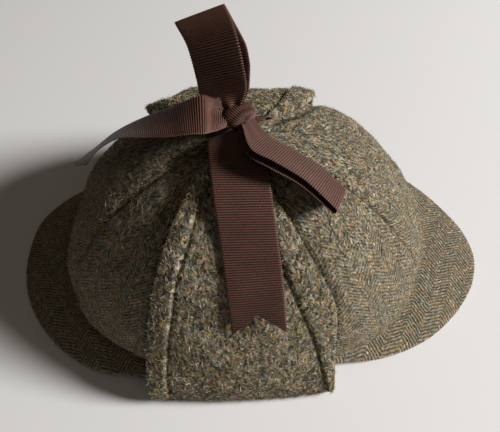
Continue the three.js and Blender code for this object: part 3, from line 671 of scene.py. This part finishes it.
def ear_flap(name, node, table, mirror, bumps=()):
    rows, rises = [], []
    foot = table[0]
    rise_shape = np.interp(np.minimum(FLAP_Q, 10 - FLAP_Q), BORDER_Q, BORDER_SHAPE)
    for out, up_share in FOLD_ROWS:
        spread = 1 + (abs(foot[1]) - 1) * max(up_share * out, 0)
        anchors = flap_columns(-FLAP_HALF_WIDTH * spread, FLAP_HALF_WIDTH, BORDER_WIDTH * foot[3],
                               BORDER_WIDTH * 0.25)
        x = FLAP_CENTRE + along_columns(anchors)
        y = rim_side(x, -PANEL_WALL / 2) * (1 - out) + fold_line(x) * out
        z = FLAP_THICKNESS / 2 * (1 - up_share) + (RIM_HEIGHT - SEAM_GAP) * up_share
        rows.append(np.stack([x, -y, np.full_like(x, z)], -1))
        rises.append(rise_shape * 0.6 * (out == 1))
    around = np.linspace(0, table[-1, 0], 22)
    at = smooth_table(table[:, 0], table[:, 1:], around)
    left_lift, right_lift = np.clip(at[:, 4], 0, 1), np.clip(at[:, 5], 0, 1)
    anchors = flap_columns(at[:, 0] * FLAP_HALF_WIDTH, at[:, 1] * FLAP_HALF_WIDTH,
                           at[:, 2] * BORDER_WIDTH, at[:, 3] * BORDER_WIDTH)
    x = FLAP_CENTRE + along_columns(anchors)
    lift_shape = along_columns(BORDER_LIFTS, eased=True)
    edge_lift = np.where(FLAP_Q < 5, left_lift[:, None], right_lift[:, None])
    points = over_crown(x, around[:, None], FLAP_OVER + FLAP_LIFT * edge_lift * lift_shape)
    side = over_crown(x, 0, FLAP_OVER)
    release = np.clip((FOLD_RELEASE - points[..., 2]) / (FOLD_RELEASE - RIM_HEIGHT), 0, 1)
    release = release ** 2 * (3 - 2 * release)
    points[..., 1] -= np.maximum(fold_line(x) + side[..., 1], 0) * release
    close = 1 - release[:, [0, -1]]
    pressed = over_crown(x[:, [0, -1]], around[:, None], 0) * [1, mirror, 1]
    grid = np.concatenate([np.stack(rows), points])
    rise = np.concatenate([np.stack(rises), np.tile(rise_shape, (len(around), 1))])
    knots = np.concatenate([[0], np.cumsum(np.linalg.norm(np.diff(grid, axis=0), axis=-1).mean(1) ** 0.6)])
    wanted = np.linspace(0, knots[-1], FLAP_ROWS_FINE)
    fine = smooth_table(knots, grid, wanted)
    fine[..., 2] = np.maximum(fine[..., 2], FLAP_THICKNESS / 2)
    rise = smooth_table(knots, rise, wanted)
    normal = grid_normals(fine)
    normal *= np.sign(normal[-40, len(FLAP_Q) // 2, 2])
    across = arc_lengths(fine, 1)
    along = arc_lengths(fine, 0)[:, len(FLAP_Q) // 2][:, None] + 0 * across
    to_side = np.minimum(across, across[:, -1:] - across)
    to_top = along[-1:] - along
    rounded = edge_round(to_side, 2.2) * edge_round(to_top, 2.0)
    free = np.clip((fine[..., 2] - 9) / 10, 0, 1)
    scale = [1, mirror, 1]
    lift = cloth_ripple(fine * scale) * free
    fine = fine + normal * swells(fine * scale, bumps)[..., None]
    outward = 0.15 + (FLAP_THICKNESS / 2 - 0.15) * rounded + BORDER_RISE * rise * rounded
    inward = 0.15 + (FLAP_THICKNESS / 2 - 0.15) * rounded
    outer = fine + normal * (outward + lift)[..., None]
    inner = fine - normal * (inward - 0.8 * lift)[..., None]
    uv = np.stack([fine[..., 0] + 800, mirror * along + 800], -1)
    nap = np.clip(to_side / 1.2, 0, 1) * np.clip(1.75 + rise, 0, 1)
    # painted shade in the stitched groove along the border's inner edge
    painted_crease_shade = 0.55 * np.clip(-1.15 * rise, 0, 1) ** 2
    piece = shell(name, outer * scale, inner * scale, uv, flap_tweed, nap=nap, painted_crease_shade=painted_crease_shade)
    cut = float(across.max()), float(along.max())
    return settle(piece, "flap_tweed", node), cut, pressed.reshape(-1, 3), close.ravel()


flap_near, near_cut, near_press, near_close = ear_flap("flap_near_tweed", "flap_near", NEAR_FLAP, 1)
flap_far, far_cut, far_press, far_close = ear_flap("flap_far_tweed", "flap_far", FAR_FLAP, -1, FAR_SWELLS)
print("flaps cut to", [round(v) for v in (*near_cut, *far_cut)], "mm across and from the rim to the tip")

# %% [markdown]
# ## Crown panels
# The crown is sewn from eight curved wedges. Each panel is a little fuller between its seams, where the
# cloth is free, and sinks where two edges are sewn and turned in. Columns crowd towards the seams, so
# that the groove is a real shape. The weave runs from the top to the rim along each panel's middle.

# %% Crown panels
PANEL_COLUMNS, PANEL_ROWS = 45, 84
PUFF_ROUND, PUFF_FADE = 0.7, 6
# where the photographed crown is flatter or fuller than the dome: place, spread and height, all in mm
CROWN_SWELLS = [((-112, 12, 56), 22, -4.5), ((-98, 38, 71), 14, 2.0), ((15, 62, 100), 15, -2.2)]


def under_flap_edge(points):
    """How much a flap's edge presses on the crown near each point, and how near the gap under it each point
    lies; that gap is given painted shade.
    """
    ends = np.concatenate([near_press[:-2], far_press[:-2]]), np.concatenate([near_press[2:], far_press[2:]])
    strength = np.concatenate([near_close[:-2], far_close[:-2]])
    start, way = ends[0], ends[1] - ends[0]
    flat = points.reshape(-1, 1, 3)
    t = np.clip(((flat - start) * way).sum(-1) / np.maximum((way ** 2).sum(-1), 1e-6), 0, 1)
    distance = np.linalg.norm(flat - start - t[..., None] * way, axis=-1)
    pressed = (np.exp(-(distance / 2.6) ** 2) * strength).max(1).reshape(points.shape[:-1])
    gap = (np.exp(-(distance / 1.5) ** 2) * strength).max(1).reshape(points.shape[:-1])
    return pressed, gap


def crown_panel(number, start, end):
    share = (1 - np.cos(np.linspace(0, math.pi, PANEL_COLUMNS))) / 2
    share = 0.65 * share + 0.35 * np.linspace(0, 1, PANEL_COLUMNS)
    rise = np.linspace(0, 1, PANEL_ROWS)[:, None]
    seam_angle = np.radians(start + (end - start) * share)[None, :]
    seam_angle, rise = np.broadcast_arrays(seam_angle, rise)
    base = crown_point(seam_angle, rise)
    radius = np.hypot(base[..., 0], base[..., 1])
    angle = seam_angle + (1 - 2 * share) * SEAM_GAP / 2 / radius
    base, normal = crown_point(angle, rise), crown_normal(angle, rise)
    across = arc_lengths(base, 1)
    middle = across[:, -1:] / 2
    to_seam = np.minimum(across, across[:, -1:] - across)
    puff = PANEL_PUFF * np.sin(math.pi * share) ** PUFF_ROUND * (1 - rise ** PUFF_FADE)
    groove = 1.0 * np.exp(-(to_seam / 1.2) ** 2) + 0.6 * np.exp(-to_seam / 4.0)
    pressed, gap = under_flap_edge(base)
    lift = puff - groove + cloth_ripple(base) * (1 - 0.7 * rise ** 4) - 1.9 * pressed
    lift = np.maximum(lift + swells(base, CROWN_SWELLS), 0.6 - PANEL_WALL)
    outer = base + normal * lift[..., None]
    inner = base - normal * PANEL_WALL
    outer[0, :, 2] = inner[0, :, 2] = RIM_HEIGHT
    up_along = arc_lengths(base, 0)[:, PANEL_COLUMNS // 2][:, None]
    uv = np.stack([across - middle + 37.0 * number, up_along + 0 * across], -1)
    # painted shade in the seam's groove and in the gap under a flap's edge
    painted_seam_shade = 0.35 * np.exp(-(to_seam / 0.7) ** 2)
    nap = np.clip(to_seam / 0.8, 0, 1) * (1 - np.clip(1.6 * gap, 0, 1))
    node = f"crown_panel_{number}"
    piece = shell(f"{node}_tweed", outer, inner, uv, crown_tweed, nap=nap, painted_crease_shade=np.maximum(painted_seam_shade, gap))
    settle(piece, "crown_tweed", node)
    return piece, float(across[:, -1].max()), float(up_along.max())


panels = []
for number in range(1, len(SEAMS)):
    piece, wide, long = crown_panel(number, SEAMS[number - 1], SEAMS[number])
    panels.append((piece, wide, long))
    print(piece.name, "cut about", round(wide), "by", round(long), "mm")

# %% [markdown]
# ## Ribbon
# One ribbon runs from each flap and the two are tied in a bow. Each stretch is a strip that follows a
# smooth curve, with a way to point its width at each place. Near the knot the strip is gathered, so it
# narrows and folds lengthways. The table's lengths are shares of the ribbon's width.

# %% Tables of the ribbon
RIBBON_WIDTH, RIBBON_THICKNESS = 32.0, 1.0
KNOT_SHIFT, KNOT_TURN = 1.4, 94.0
# across, around, lift, open, turn, tilt, width
NEAR_LEAD = [
    (-0.045, 79.5, 0.09, 0, 0, 0, 0.85), (-0.045, 86, 0.08, 0, 0, 0, 0.6), (-0.045, 93, 0.05, 0, 0, 0, 0.45)]
FAR_LEAD = [
    (0.300, 98.8, 0.09, 0, 0, 0, 0.5), (0.230, 96.6, 0.07, 0, -10, 0, 0.4), (0.200, 95, 0.05, 0, -15, 0, 0.2)]
FRONT_TAIL = [
    (-0.063, 88.7, 0.20, 0, -3, 0, 0.45), (-0.084, 84.5, 0.26, 0, -6, 1, 0.93),
    (-0.067, 79.2, 0.32, 0, -7, 2, 1), (0.006, 66.3, 0.43, 0, -3.3, 2, 1), (0.084, 53.7, 0.33, 0, -5.1, 5, 1),
    (0.149, 40.2, 0.32, 0, -3.6, 9, 1), (0.204, 24.7, 0.36, 0, -6.4, 14, 1)]
LEFT_TAIL = [
    (-0.230, 93.2, 0.30, 0, -94, 0, 0.5), (-0.477, 90.7, 0.50, 0, -89, 5.4, 0.85),
    (-0.593, 86.6, 0.86, 0, -88, 3.7, 1), (-0.854, 86.8, 0.84, 0, -84.5, 8.8, 1),
    (-1.192, 87.5, 0.76, 0, -81.3, 15.7, 1), (-1.590, 89.4, 0.70, 0, -80.8, 22, 1),
    (-2.187, 91.3, 0.70, 0, -76, 35.8, 1), (-2.620, 91.1, 0.66, 0, -70.7, 41.1, 1),
    (-3.070, 90.4, 0.60, 0, -50.5, 39.3, 1)]
RIGHT_LOOP = [
    (0.106, 89.1, 0.33, 0.05, -116, 29.5, 0.55), (0.309, 80.7, 0.46, 0.06, -112.7, 28.7, 0.9),
    (0.681, 76.5, 0.48, 0.07, -110.7, 32.4, 1), (1.187, 72.2, 0.43, 0.06, -112.2, 31.4, 1),
    (1.649, 65.4, 0.35, 0.05, -107.9, 29.3, 1)]
UP_LOOP = [
    (-0.148, 95.6, 0.40, 0.05, -2.2, 10, 0.383), (-0.238, 98.1, 0.62, 0.08, -11.8, 20, 0.886),
    (-0.260, 99.1, 1.03, 0.12, -17.8, 25, 1.000), (-0.342, 101.5, 1.42, 0.12, -16, 25, 1.000),
    (-0.606, 109.3, 1.79, 0.08, 1.3, 20, 0.972)]


def curve_through(points, share):
    """A smooth curve through points with their own spacing kept, at shares of its length."""
    points = np.asarray(points, float)
    share = np.clip(share, 0, 1)
    last = len(points) - 1
    at = np.minimum(np.floor(share * last).astype(int), last - 1)
    t = (share * last - at)[:, None]
    padded = np.concatenate([[2 * points[0] - points[1]], points, [2 * points[-1] - points[-2]]])
    p0, p1, p2, p3 = (padded[at + k] for k in range(4))
    gap = [np.maximum(((b - a) ** 2).sum(-1, keepdims=True) ** 0.25, 1e-4)
           for a, b in ((p0, p1), (p1, p2), (p2, p3))]
    start = ((p1 - p0) / gap[0] - (p2 - p0) / (gap[0] + gap[1]) + (p2 - p1) / gap[1]) * gap[1]
    end = ((p2 - p1) / gap[1] - (p3 - p1) / (gap[1] + gap[2]) + (p3 - p2) / gap[2]) * gap[1]
    return (p1 + start * t + (-3 * p1 + 3 * p2 - 2 * start - end) * t ** 2
            + (2 * p1 - 2 * p2 + start + end) * t ** 3)


# %% Strips of ribbon
RIB_STEPS, STRIP_COLUMNS = 7, 15
RIBBON_END_SHARE = 8 / (1.2 * 98)  # the V cut's depth, as a share of the front tail's length


def strip(name, node, table, loop=False, notch=0.0, folds=(0.0, 1.0, 0.0), swell=None, ragged=0.0):
    """A stretch of ribbon. folds are the gathers' depth, number and phase, and swell a shape of its own."""
    table = np.array(table, float)
    across, around, lift, opening, turned, tilt, width = table.T
    places = over_crown(KNOT_SHIFT + across * RIBBON_WIDTH, around, lift * RIBBON_WIDTH + PANEL_PUFF)
    turned, tilt = np.radians(turned), np.radians(tilt)
    ways = np.stack([np.cos(tilt) * np.cos(turned), np.cos(tilt) * np.sin(turned), np.sin(tilt)], -1)
    rough = curve_through(places, np.linspace(0, 1, 400))
    length = np.linalg.norm(np.diff(rough, axis=0), axis=-1).sum()
    steps = int(length / RIB_PITCH * RIB_STEPS)
    share = np.linspace(0, 1, steps + 1)
    bend = np.zeros(steps + 1)
    if loop:
        around_end = max(int(math.pi * opening[-1] * RIBBON_WIDTH / RIB_PITCH * RIB_STEPS), 8)
        share = np.concatenate([share, np.ones(around_end - 1), share[::-1]])
        bend = np.concatenate([bend, np.arange(1, around_end) / around_end, np.ones(steps + 1)])
    side = np.linspace(-1, 1, STRIP_COLUMNS)
    side = np.sign(side) * (1 - (1 - np.abs(side)) ** 1.25)
    # the rows run straight across, and only the last half millimetre of them bends along the notch
    frayed = ragged / length * np.random.default_rng(5).random(len(side))
    last = 1 - notch * (1 - np.abs(side)[None, :]) - frayed
    squeeze = 0.5 / length
    short = np.where(share[:, None] < last - squeeze, share[:, None],
                     last - squeeze + (share[:, None] - last + squeeze) * squeeze / (1 - last + squeeze))
    flat = short.ravel()
    point = curve_through(places, flat)
    delta = 1e-4
    ahead = unit(curve_through(places, np.minimum(flat + delta, 1))
                 - curve_through(places, np.maximum(flat - delta, 0)))
    broad = unit(curve_through(ways, flat))
    normal = unit(np.cross(broad, ahead))
    rows = np.arange(len(table)) / (len(table) - 1)
    wide = smooth_table(rows, width, flat)
    half_open = smooth_table(rows, opening, flat)
    sides = np.tile(side, len(share))
    bends = np.repeat(bend, len(side))
    depth, count, phase = folds
    gather = np.clip(1 - flat * 3.2, 0, 1) ** 1.5
    pleat = depth * gather * np.cos(math.pi * (sides * count + phase))
    if swell:
        pleat = pleat + swell(flat, sides)
    layer = np.cos(math.pi * bends)
    point = point + broad * (sides * np.minimum(wide, 1) * RIBBON_WIDTH / 2)[:, None]
    point = point + normal * (half_open * RIBBON_WIDTH * layer + pleat)[:, None]
    point = point + ahead * (half_open * RIBBON_WIDTH * np.sin(math.pi * bends))[:, None]
    grid = point.reshape(len(share), len(side), 3)
    normals = grid_normals(grid)
    # a notch cuts the cloth and leaves its ribs straight, so each point keeps its own place along
    walked = np.concatenate([[0], np.cumsum(np.linalg.norm(np.diff(rough, axis=0), axis=-1))])
    centre = np.interp(flat, np.linspace(0, 1, len(walked)), walked)
    turn_length = math.pi * half_open[-1] * RIBBON_WIDTH
    centre = np.where(bends > 0, 2 * walked[-1] + turn_length - centre, centre)
    centre = np.where((bends > 0) & (bends < 1), walked[-1] + turn_length * bends, centre)
    centre = centre.reshape(short.shape)
    half = RIBBON_THICKNESS * 0.32 * (1 - 0.55 * np.abs(side) ** 8)[None, :, None]
    u = (side[None, :] + 1) * RIBBON_WIDTH / 2 + 0 * centre
    piece = shell(name, grid + normals * half, grid - normals * half, np.stack([u, centre], -1),
                  ribbon_grosgrain, along=centre)
    piece["ribbon_mm"] = float(centre.max())
    piece["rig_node"] = node
    return piece


def raised_edge(share, side):
    """Near the knot the left tail's far edge stays up, so that the cloth below it makes a pocket."""
    return -5.0 * np.exp(-((share - 0.10) / 0.07) ** 2) * np.exp(-((side + 1) / 0.35) ** 2)


strips = [
    strip("ribbon_lead_near_cloth", "ribbon_lead_near", NEAR_LEAD),
    strip("ribbon_lead_far_cloth", "ribbon_lead_far", FAR_LEAD),
    strip("ribbon_tail_front_cloth", "ribbon_tail_front", FRONT_TAIL, notch=RIBBON_END_SHARE,
          folds=(1.4, 2.0, 0.0)),
    strip("ribbon_tail_left_cloth", "ribbon_tail_left", LEFT_TAIL, folds=(0.8, 1.6, 0.3),
          swell=raised_edge, ragged=1.6),
    strip("ribbon_loop_right_cloth", "ribbon_loop_right", RIGHT_LOOP, loop=True, folds=(1.0, 2.0, 0.2)),
    strip("ribbon_loop_up_cloth", "ribbon_loop_up", UP_LOOP, loop=True, folds=(1.2, 2.0, 0.0)),
]
for piece in strips:
    print(piece.name, round(piece["ribbon_mm"]), "mm of ribbon")

# %% [markdown]
# ## Knot
# The knot is a short turn of gathered ribbon wrapped tightly round the bow. Its ribs lie along its
# axis, which slants across the hat, so it is a barrel whose rings the ribs cross at right angles.

# %% Knot
KNOT_AXIS = math.radians(-52)
KNOT_RINGS, KNOT_STEPS = 30, 260


def knot():
    middle = over_crown(KNOT_SHIFT, KNOT_TURN, 0.33 * RIBBON_WIDTH)
    axis = np.array([math.cos(KNOT_AXIS), math.sin(KNOT_AXIS), 0.0])
    level = np.array([-axis[1], axis[0], 0.0])
    slope = np.linspace(0.16, math.pi - 0.16, KNOT_RINGS)[:, None]
    turned = np.linspace(0, math.tau, KNOT_STEPS, endpoint=False)[None, :]
    girth = np.sin(slope) ** 0.42
    crossing = 0.10 * np.exp(-((slope - 1.9) / 0.25) ** 2) * (0.5 + 0.5 * np.cos(turned - 1.0))
    dent = 1 + 0.06 * np.sin(2 * turned + 0.8) * np.sin(slope) - crossing
    wide, tall, long = 9.4, 5.9, 6.6
    along = -np.cos(slope) * long + 0 * turned
    outward = girth * dent
    x = middle + along[..., None] * axis + (outward * np.cos(turned))[..., None] * level * wide
    x[..., 2] += outward * np.sin(turned) * tall
    ring = np.concatenate([x, x[:, :1]], 1)
    lengths = arc_lengths(ring, 1).max(0)
    points = ring[:, :-1].reshape(-1, 3)
    start, end = ring[0, :-1].mean(0), ring[-1, :-1].mean(0)
    index = np.arange(len(points)).reshape(KNOT_RINGS, KNOT_STEPS)
    following = np.roll(index, -1, axis=1)
    quads = np.stack([index[:-1], following[:-1], following[1:], index[1:]], -1).reshape(-1, 4)
    faces = [tuple(int(v) for v in q) for q in quads]
    first, last = len(points), len(points) + 1
    faces += [(first, int(following[0, k]), int(index[0, k])) for k in range(KNOT_STEPS)]
    faces += [(last, int(index[-1, k]), int(following[-1, k])) for k in range(KNOT_STEPS)]
    mesh = bpy.data.meshes.new("ribbon_knot_cloth")
    mesh.from_pydata([tuple(v * MM) for v in np.concatenate([points, [start, end]])], [], faces)
    mesh.polygons.foreach_set("use_smooth", np.ones(len(mesh.polygons), bool))
    layer = mesh.uv_layers.new(name="cloth")
    around = np.concatenate([np.tile(lengths[:-1], KNOT_RINGS), [0, 0]])
    sideways = np.concatenate([np.repeat(np.linspace(0, RIBBON_WIDTH * 0.7, KNOT_RINGS), KNOT_STEPS), [0, 0]])
    corner = np.array([loop.vertex_index for loop in mesh.loops])
    layer.data.foreach_set("uv", (np.stack([sideways, around], -1)[corner] * MM).ravel().astype(np.float32))
    store(mesh, "along", around * MM)
    mesh.materials.append(ribbon_grosgrain)
    piece = add_object("ribbon_knot_cloth", mesh)
    corners = [[mesh.vertices[v].co for v in face.vertices[:3]] for face in mesh.polygons]
    if sum(a.dot(b.cross(c)) for a, b, c in corners) < 0:
        mesh.flip_normals()
    piece["ribbon_mm"] = float(lengths[-1])
    piece["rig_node"] = "ribbon_knot"
    return piece


knot_piece = knot()
print("knot wrapped with", round(knot_piece["ribbon_mm"]), "mm of ribbon")

# %% [markdown]
# ## Ribs
# Ribs repeat hundreds of times along a path, which is work for Geometry Nodes. Each point knows how
# far along the ribbon it lies, so a wave of that length pushes it out along its normal. The modifier's
# result is then kept as a plain mesh.

# %% Ribs on the grosgrain
def new_geometry_tree(name, inputs):
    """A Geometry Nodes tree with a mesh in and out, and named inputs of (name, kind, value)."""
    tree = bpy.data.node_groups.new(name, "GeometryNodeTree")
    tree.interface.new_socket("Geometry", in_out="INPUT", socket_type="NodeSocketGeometry")
    for title, kind, value in inputs:
        socket = tree.interface.new_socket(title, in_out="INPUT", socket_type=kind)
        if value is not None:
            socket.default_value = value
    tree.interface.new_socket("Geometry", in_out="OUTPUT", socket_type="NodeSocketGeometry")
    return tree, tree.nodes.new("NodeGroupInput").outputs, tree.nodes.new("NodeGroupOutput").inputs


def named_value(tree, name):
    return add_node(tree, "GeometryNodeInputNamedAttribute", {"data_type": "FLOAT"}, Name=name).outputs[0]


def end_tree(tree, geometry, material, target):
    """Realize Instances and Set Material, as the last nodes of a tree."""
    real = add_node(tree, "GeometryNodeRealizeInstances", Geometry=geometry)
    painted = add_node(tree, "GeometryNodeSetMaterial", Geometry=real.outputs[0], Material=material)
    tree.links.new(painted.outputs[0], target)


def apply_tree(source, tree, settings, name=None):
    """Runs a tree on an object and returns its result as a plain mesh object."""
    modifier = source.modifiers.new("making", "NODES")
    modifier.node_group = tree
    identifiers = {item.name: item.identifier for item in tree.interface.items_tree if item.in_out == "INPUT"}
    for title, value in settings.items():
        modifier[identifiers[title]] = value
    graph = bpy.context.evaluated_depsgraph_get()
    mesh = bpy.data.meshes.new_from_object(source.evaluated_get(graph), preserve_all_data_layers=True,
                                           depsgraph=graph)
    source.modifiers.remove(modifier)
    if name is None:
        source.data = mesh
        return source
    mesh.name = name
    return add_object(name, mesh)


ribs, given, target = new_geometry_tree("grosgrain ribs", [
    ("Pitch", "NodeSocketFloat", RIB_PITCH * MM), ("Height", "NodeSocketFloat", 0.00016),
    ("Material", "NodeSocketMaterial", None)])
along = named_value(ribs, "along")
cycles = sums(ribs, "DIVIDE", along, given["Pitch"])
wave = sums(ribs, "COSINE", times(ribs, cycles, math.tau))
raised = times(ribs, minus(ribs, wave, 0.2), given["Height"])
outward = add_node(ribs, "GeometryNodeInputNormal").outputs[0]
moved = add_node(ribs, "GeometryNodeSetPosition", Geometry=given["Geometry"],
                 Offset=vectors(ribs, "SCALE", outward, scale=raised))
end_tree(ribs, moved.outputs[0], given["Material"], target[0])

for piece in [*strips, knot_piece]:
    apply_tree(piece, ribs, {"Material": ribbon_grosgrain, "Height": 0.00020})
    settle(piece, "ribbon", piece["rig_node"])
    print(piece.name, "has", len(piece.data.polygons), "faces and",
          round(piece["ribbon_mm"] / RIB_PITCH), "ribs")

# %% [markdown]
# ## Nap
# Wool tweed has a haze of loose fibres, and the edge of the hat looks soft because of them. Points are
# scattered over the outer faces, and each carries a thin curled spike of a few faces, leaning at
# random. Fewer, longer ones make the stray hairs.

# %% Nap material
FIBRE_DYES = [
    (0.0, (0.030, 0.025, 0.016)), (0.22, (0.10, 0.090, 0.052)), (0.40, (0.22, 0.185, 0.125)),
    (0.55, (0.42, 0.37, 0.28)), (0.68, (0.66, 0.60, 0.48)), (0.76, (0.46, 0.34, 0.09)),
    (0.83, (0.42, 0.16, 0.07)), (0.89, (0.10, 0.15, 0.20)), (0.94, (0.20, 0.24, 0.10)),
]


def nap_material(name):
    material, tree = new_material(name)
    tint = add_node(tree, "ShaderNodeAttribute", {"attribute_name": "tint"}).outputs["Fac"]
    colour = ramp(tree, tint, FIBRE_DYES, steps=True)
    shader = add_node(tree, "ShaderNodeBsdfPrincipled", Base_Color=colour, Roughness=0.75,
                      Specular_IOR_Level=0.25)
    add_node(tree, "ShaderNodeOutputMaterial", Surface=shader.outputs[0])
    return material


wool_fibre = nap_material("wool_fibre")

# %% Fibre tree
wool, given, target = new_geometry_tree("wool fibres", [
    ("Density", "NodeSocketFloat", 400000.0), ("Length", "NodeSocketFloat", 0.002),
    ("Thickness", "NodeSocketFloat", 0.0001), ("Curl", "NodeSocketFloat", 1.2),
    ("Lean", "NodeSocketFloat", 1.0), ("Segments", "NodeSocketInt", 2), ("Seed", "NodeSocketInt", 1),
    ("Material", "NodeSocketMaterial", None)])


def random_value(low, high, shift=0.0):
    """A number for each fibre, from its own series of the tree's seed."""
    seed = plus(wool, given["Seed"], shift) if shift else given["Seed"]
    return add_node(wool, "FunctionNodeRandomValue", {"data_type": "FLOAT"}, i2=low, i3=high,
                    Seed=seed).outputs[1]


def turned_by(rotation, **angles):
    """A rotation turned further, about its own axes."""
    euler = add_node(wool, "ShaderNodeCombineXYZ", **angles).outputs[0]
    turn = add_node(wool, "FunctionNodeEulerToRotation", Euler=euler).outputs[0]
    return add_node(wool, "FunctionNodeRotateRotation", {"rotation_space": "LOCAL"}, i0=rotation,
                    i1=turn).outputs[0]


napped = named_value(wool, "nap")
x, y, z = split_xyz(wool, add_node(wool, "GeometryNodeInputPosition").outputs[0])
above_floor = sums(wool, "GREATER_THAN", z, times(wool, given["Length"], 1.4))
outside = times(wool, sums(wool, "GREATER_THAN", napped, 0.7), above_floor)
scattered = add_node(wool, "GeometryNodeDistributePointsOnFaces", {"distribute_method": "RANDOM"},
                     Mesh=given["Geometry"], Density=given["Density"], Seed=given["Seed"],
                     Selection=outside)
turned = turned_by(scattered.outputs["Rotation"], Z=random_value(0.0, math.tau))
least_lean = times(wool, given["Lean"], 0.62)
turned = turned_by(turned, X=random_value(least_lean, given["Lean"], 7.0))
spike = add_node(wool, "GeometryNodeMeshCone", {"fill_type": "NGON"}, Vertices=3,
                 Side_Segments=given["Segments"], Radius_Top=0.0,
                 Radius_Bottom=times(wool, given["Thickness"], 0.5), Depth=given["Length"])
angle = times(wool, sums(wool, "DIVIDE", z, given["Length"]), given["Curl"])
radius = sums(wool, "DIVIDE", given["Length"], given["Curl"])
bent_x = plus(wool, x, times(wool, radius, minus(wool, 1.0, sums(wool, "COSINE", angle))))
bent_z = times(wool, radius, sums(wool, "SINE", angle))
bent_place = add_node(wool, "ShaderNodeCombineXYZ", X=bent_x, Y=y, Z=bent_z)
bent = add_node(wool, "GeometryNodeSetPosition", Geometry=spike.outputs["Mesh"],
                Position=bent_place.outputs[0])
dyed = add_node(wool, "GeometryNodeStoreNamedAttribute", {"data_type": "FLOAT", "domain": "POINT"},
                Geometry=scattered.outputs["Points"], Name="tint", Value=random_value(0.0, 1.0, 11.0))
placed = add_node(wool, "GeometryNodeInstanceOnPoints", Points=dyed.outputs[0],
                  Instance=bent.outputs[0], Rotation=turned, Scale=random_value(0.45, 1.35, 3.0))
end_tree(wool, placed.outputs[0], given["Material"], target[0])
print("fibre tree has", len(wool.nodes), "nodes")

# %% Grow the nap
# for each kind of piece: fibres to a square metre, their length and their thickness
TUFT_NAP = {"crown": (750000.0, 0.0020, 0.00024), "peak": (500000.0, 0.0016, 0.00022),
            "flap": (950000.0, 0.0026, 0.00034)}
CURL_NAP = {"crown": (170000.0, 0.0042, 0.00016), "peak": (40000.0, 0.0030, 0.00012),
            "flap": (150000.0, 0.0046, 0.00018)}
STRAY_HAIR = {"crown": (5000.0, 0.0085, 0.00010), "peak": (1500.0, 0.0050, 0.00009),
              "flap": (12000.0, 0.0090, 0.00011)}
cloths = [(piece, "crown", "crown_tweed") for piece, _, _ in panels]
cloths += [(piece, "peak", "peak_tweed") for piece in (peak_right, peak_left)]
cloths += [(piece, "flap", "flap_tweed") for piece in (flap_near, flap_far)]
grown, grown_on = 0, {}
for number, (cloth, kind, slot) in enumerate(cloths):
    for layer, (density, length, thickness), curl, lean, segments in (
            ("nap", TUFT_NAP[kind], 0.5, 1.48, 1), ("curls", CURL_NAP[kind], 1.9, 1.40, 4),
            ("hairs", STRAY_HAIR[kind], 2.6, 1.20, 9)):
        name = cloth.name.replace("_tweed", "_") + layer
        made = apply_tree(cloth, wool, {
            "Density": density, "Length": length, "Thickness": thickness, "Curl": curl, "Lean": lean,
            "Segments": segments, "Seed": 31 + number, "Material": wool_fibre}, name)
        settle(made, slot)
        grown_on.setdefault(cloth.name, []).append(made)
        grown += len(made.data.polygons)
print("nap faces:", grown)

# %% [markdown]
# ## Cloth sizes
# Every piece of cloth was flat before it was sewn or tied. Its cut size comes from the lengths measured
# on its own grid, and its area is half of the shell's surface, since a shell has two sides.

LEAST_SIDE = 0.0101  # a sheet's side is at least 10 mm


def half_surface(piece):
    mesh = piece.data
    area = np.empty(len(mesh.polygons))
    mesh.polygons.foreach_get("area", area)
    return float(area.sum() / 2)


def declare_sheet(piece, wide, long):
    area = min(half_surface(piece), wide * long)
    print(piece.name, "cut", round(wide / MM), "x", round(long / MM), "mm, area", round(area * 1e4), "cm2")


for number, (piece, wide, long) in enumerate(panels):
    declare_sheet(piece, wide * MM, long * MM)
for piece in (peak_right, peak_left):
    corners = np.array([vertex.co for vertex in piece.data.vertices])
    deep, broad = np.ptp(corners, axis=0)[:2]
    declare_sheet(piece, float(broad), float(deep))
for piece, (wide, long) in ((flap_near, near_cut), (flap_far, far_cut)):
    declare_sheet(piece, wide * MM, long * MM)
for piece in [*strips, knot_piece]:
    declare_sheet(piece, RIBBON_WIDTH * MM, max(piece["ribbon_mm"] * MM, LEAST_SIDE))
